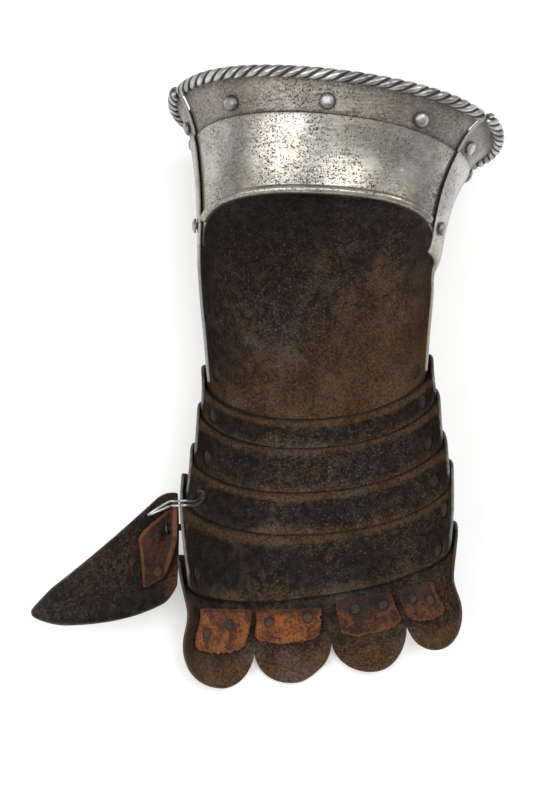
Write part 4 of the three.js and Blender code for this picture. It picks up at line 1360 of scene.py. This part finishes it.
class GAUNTLET_OT_stage(bpy.types.Operator):
    """Lays a pale floor and sets soft lights and the camera"""

    bl_idname = "gauntlet.stage"
    bl_label = "Floor, Lights and Camera"

    def execute(self, context):
        scene = context.scene
        mesh = bpy.data.meshes.new("floor")
        grid = along(-6, 6, 9)
        x, y = np.meshgrid(grid, grid)
        points = np.stack([x, y, 0 * x - 0.0002], -1).reshape(-1, 3)
        quads = cell_quads(np.arange(points.shape[0]).reshape(9, 9)).reshape(-1, 4)
        mesh.from_pydata(points.tolist(), [], quads.tolist())
        mesh.materials.append(floor_finish("floor_paint"))
        floor = bpy.data.objects.new("floor", mesh)
        scene.collection.objects.link(floor)

        world = bpy.data.worlds.new("studio")
        world.use_nodes = True
        background = world.node_tree.nodes["Background"]
        background.inputs["Color"].default_value = (1, 1, 1, 1)
        background.inputs["Strength"].default_value = 0.5
        scene.world = world
        for name, place, width, watts in LAMPS:
            lamp = bpy.data.lights.new(name, "AREA")
            lamp.shape, lamp.size, lamp.energy = "SQUARE", width, watts
            lit = bpy.data.objects.new(name, lamp)
            lit.location = place
            aim = Vector((0, 0, 0.03)) - Vector(place)
            lit.rotation_euler = aim.to_track_quat("-Z", "Y").to_euler()
            scene.collection.objects.link(lit)

        tilt = math.radians(CAMERA_TILT)
        right = np.array([1.0, 0, 0])
        up = np.array([0, math.sin(tilt), math.cos(tilt)])
        back = np.array([0, -math.cos(tilt), math.sin(tilt)])
        at = laid(np.array([CAMERA_MIDDLE, 0, 0]) + CAMERA_REACH * back)
        axes = np.stack([laid(way) - laid(np.zeros(3)) for way in (right, up, back)], -1) / MM
        camera = bpy.data.objects.new("camera", bpy.data.cameras.new("camera"))
        camera.data.lens, camera.data.sensor_width, camera.data.sensor_fit = LENS, 36, "AUTO"
        camera.data.clip_start = 0.01
        camera.matrix_world = Matrix.Translation(at) @ Matrix(axes.tolist()).to_4x4()
        scene.collection.objects.link(camera)
        scene.camera = camera
        scene.view_settings.view_transform = "Standard"
        return {"FINISHED"}


OPERATORS = (
    GAUNTLET_OT_cuff,
    GAUNTLET_OT_ropes,
    GAUNTLET_OT_lames,
    GAUNTLET_OT_knuckles,
    GAUNTLET_OT_thumb,
    GAUNTLET_OT_leathers,
    GAUNTLET_OT_rivets,
    GAUNTLET_OT_wire,
    GAUNTLET_OT_stage,
)


class GAUNTLET_PT_panel(bpy.types.Panel):
    """The gauntlet's operators, sizes and colours"""

    bl_idname = "GAUNTLET_PT_panel"
    bl_label = "Gauntlet"
    bl_space_type = "VIEW_3D"
    bl_region_type = "UI"
    bl_category = "Gauntlet"

    def draw(self, context):
        for operator in OPERATORS:
            self.layout.operator(operator.bl_idname)
        for group in (context.scene.gauntlet_sizes, context.scene.gauntlet_colours):
            column = self.layout.column()
            for name in group.__annotations__:
                column.prop(group, name)


CLASSES = (GauntletSizes, GauntletColours, *OPERATORS, GAUNTLET_PT_panel)


def register():
    for made in CLASSES:
        bpy.utils.register_class(made)
    bpy.types.Scene.gauntlet_sizes = bpy.props.PointerProperty(type=GauntletSizes)
    bpy.types.Scene.gauntlet_colours = bpy.props.PointerProperty(type=GauntletColours)


def unregister():
    del bpy.types.Scene.gauntlet_colours
    del bpy.types.Scene.gauntlet_sizes
    for made in reversed(CLASSES):
        bpy.utils.unregister_class(made)


def main():
    register()
    for operator in OPERATORS:
        family, name = operator.bl_idname.split(".")
        getattr(getattr(bpy.ops, family), name)()


if __name__ == "__main__":
    main()
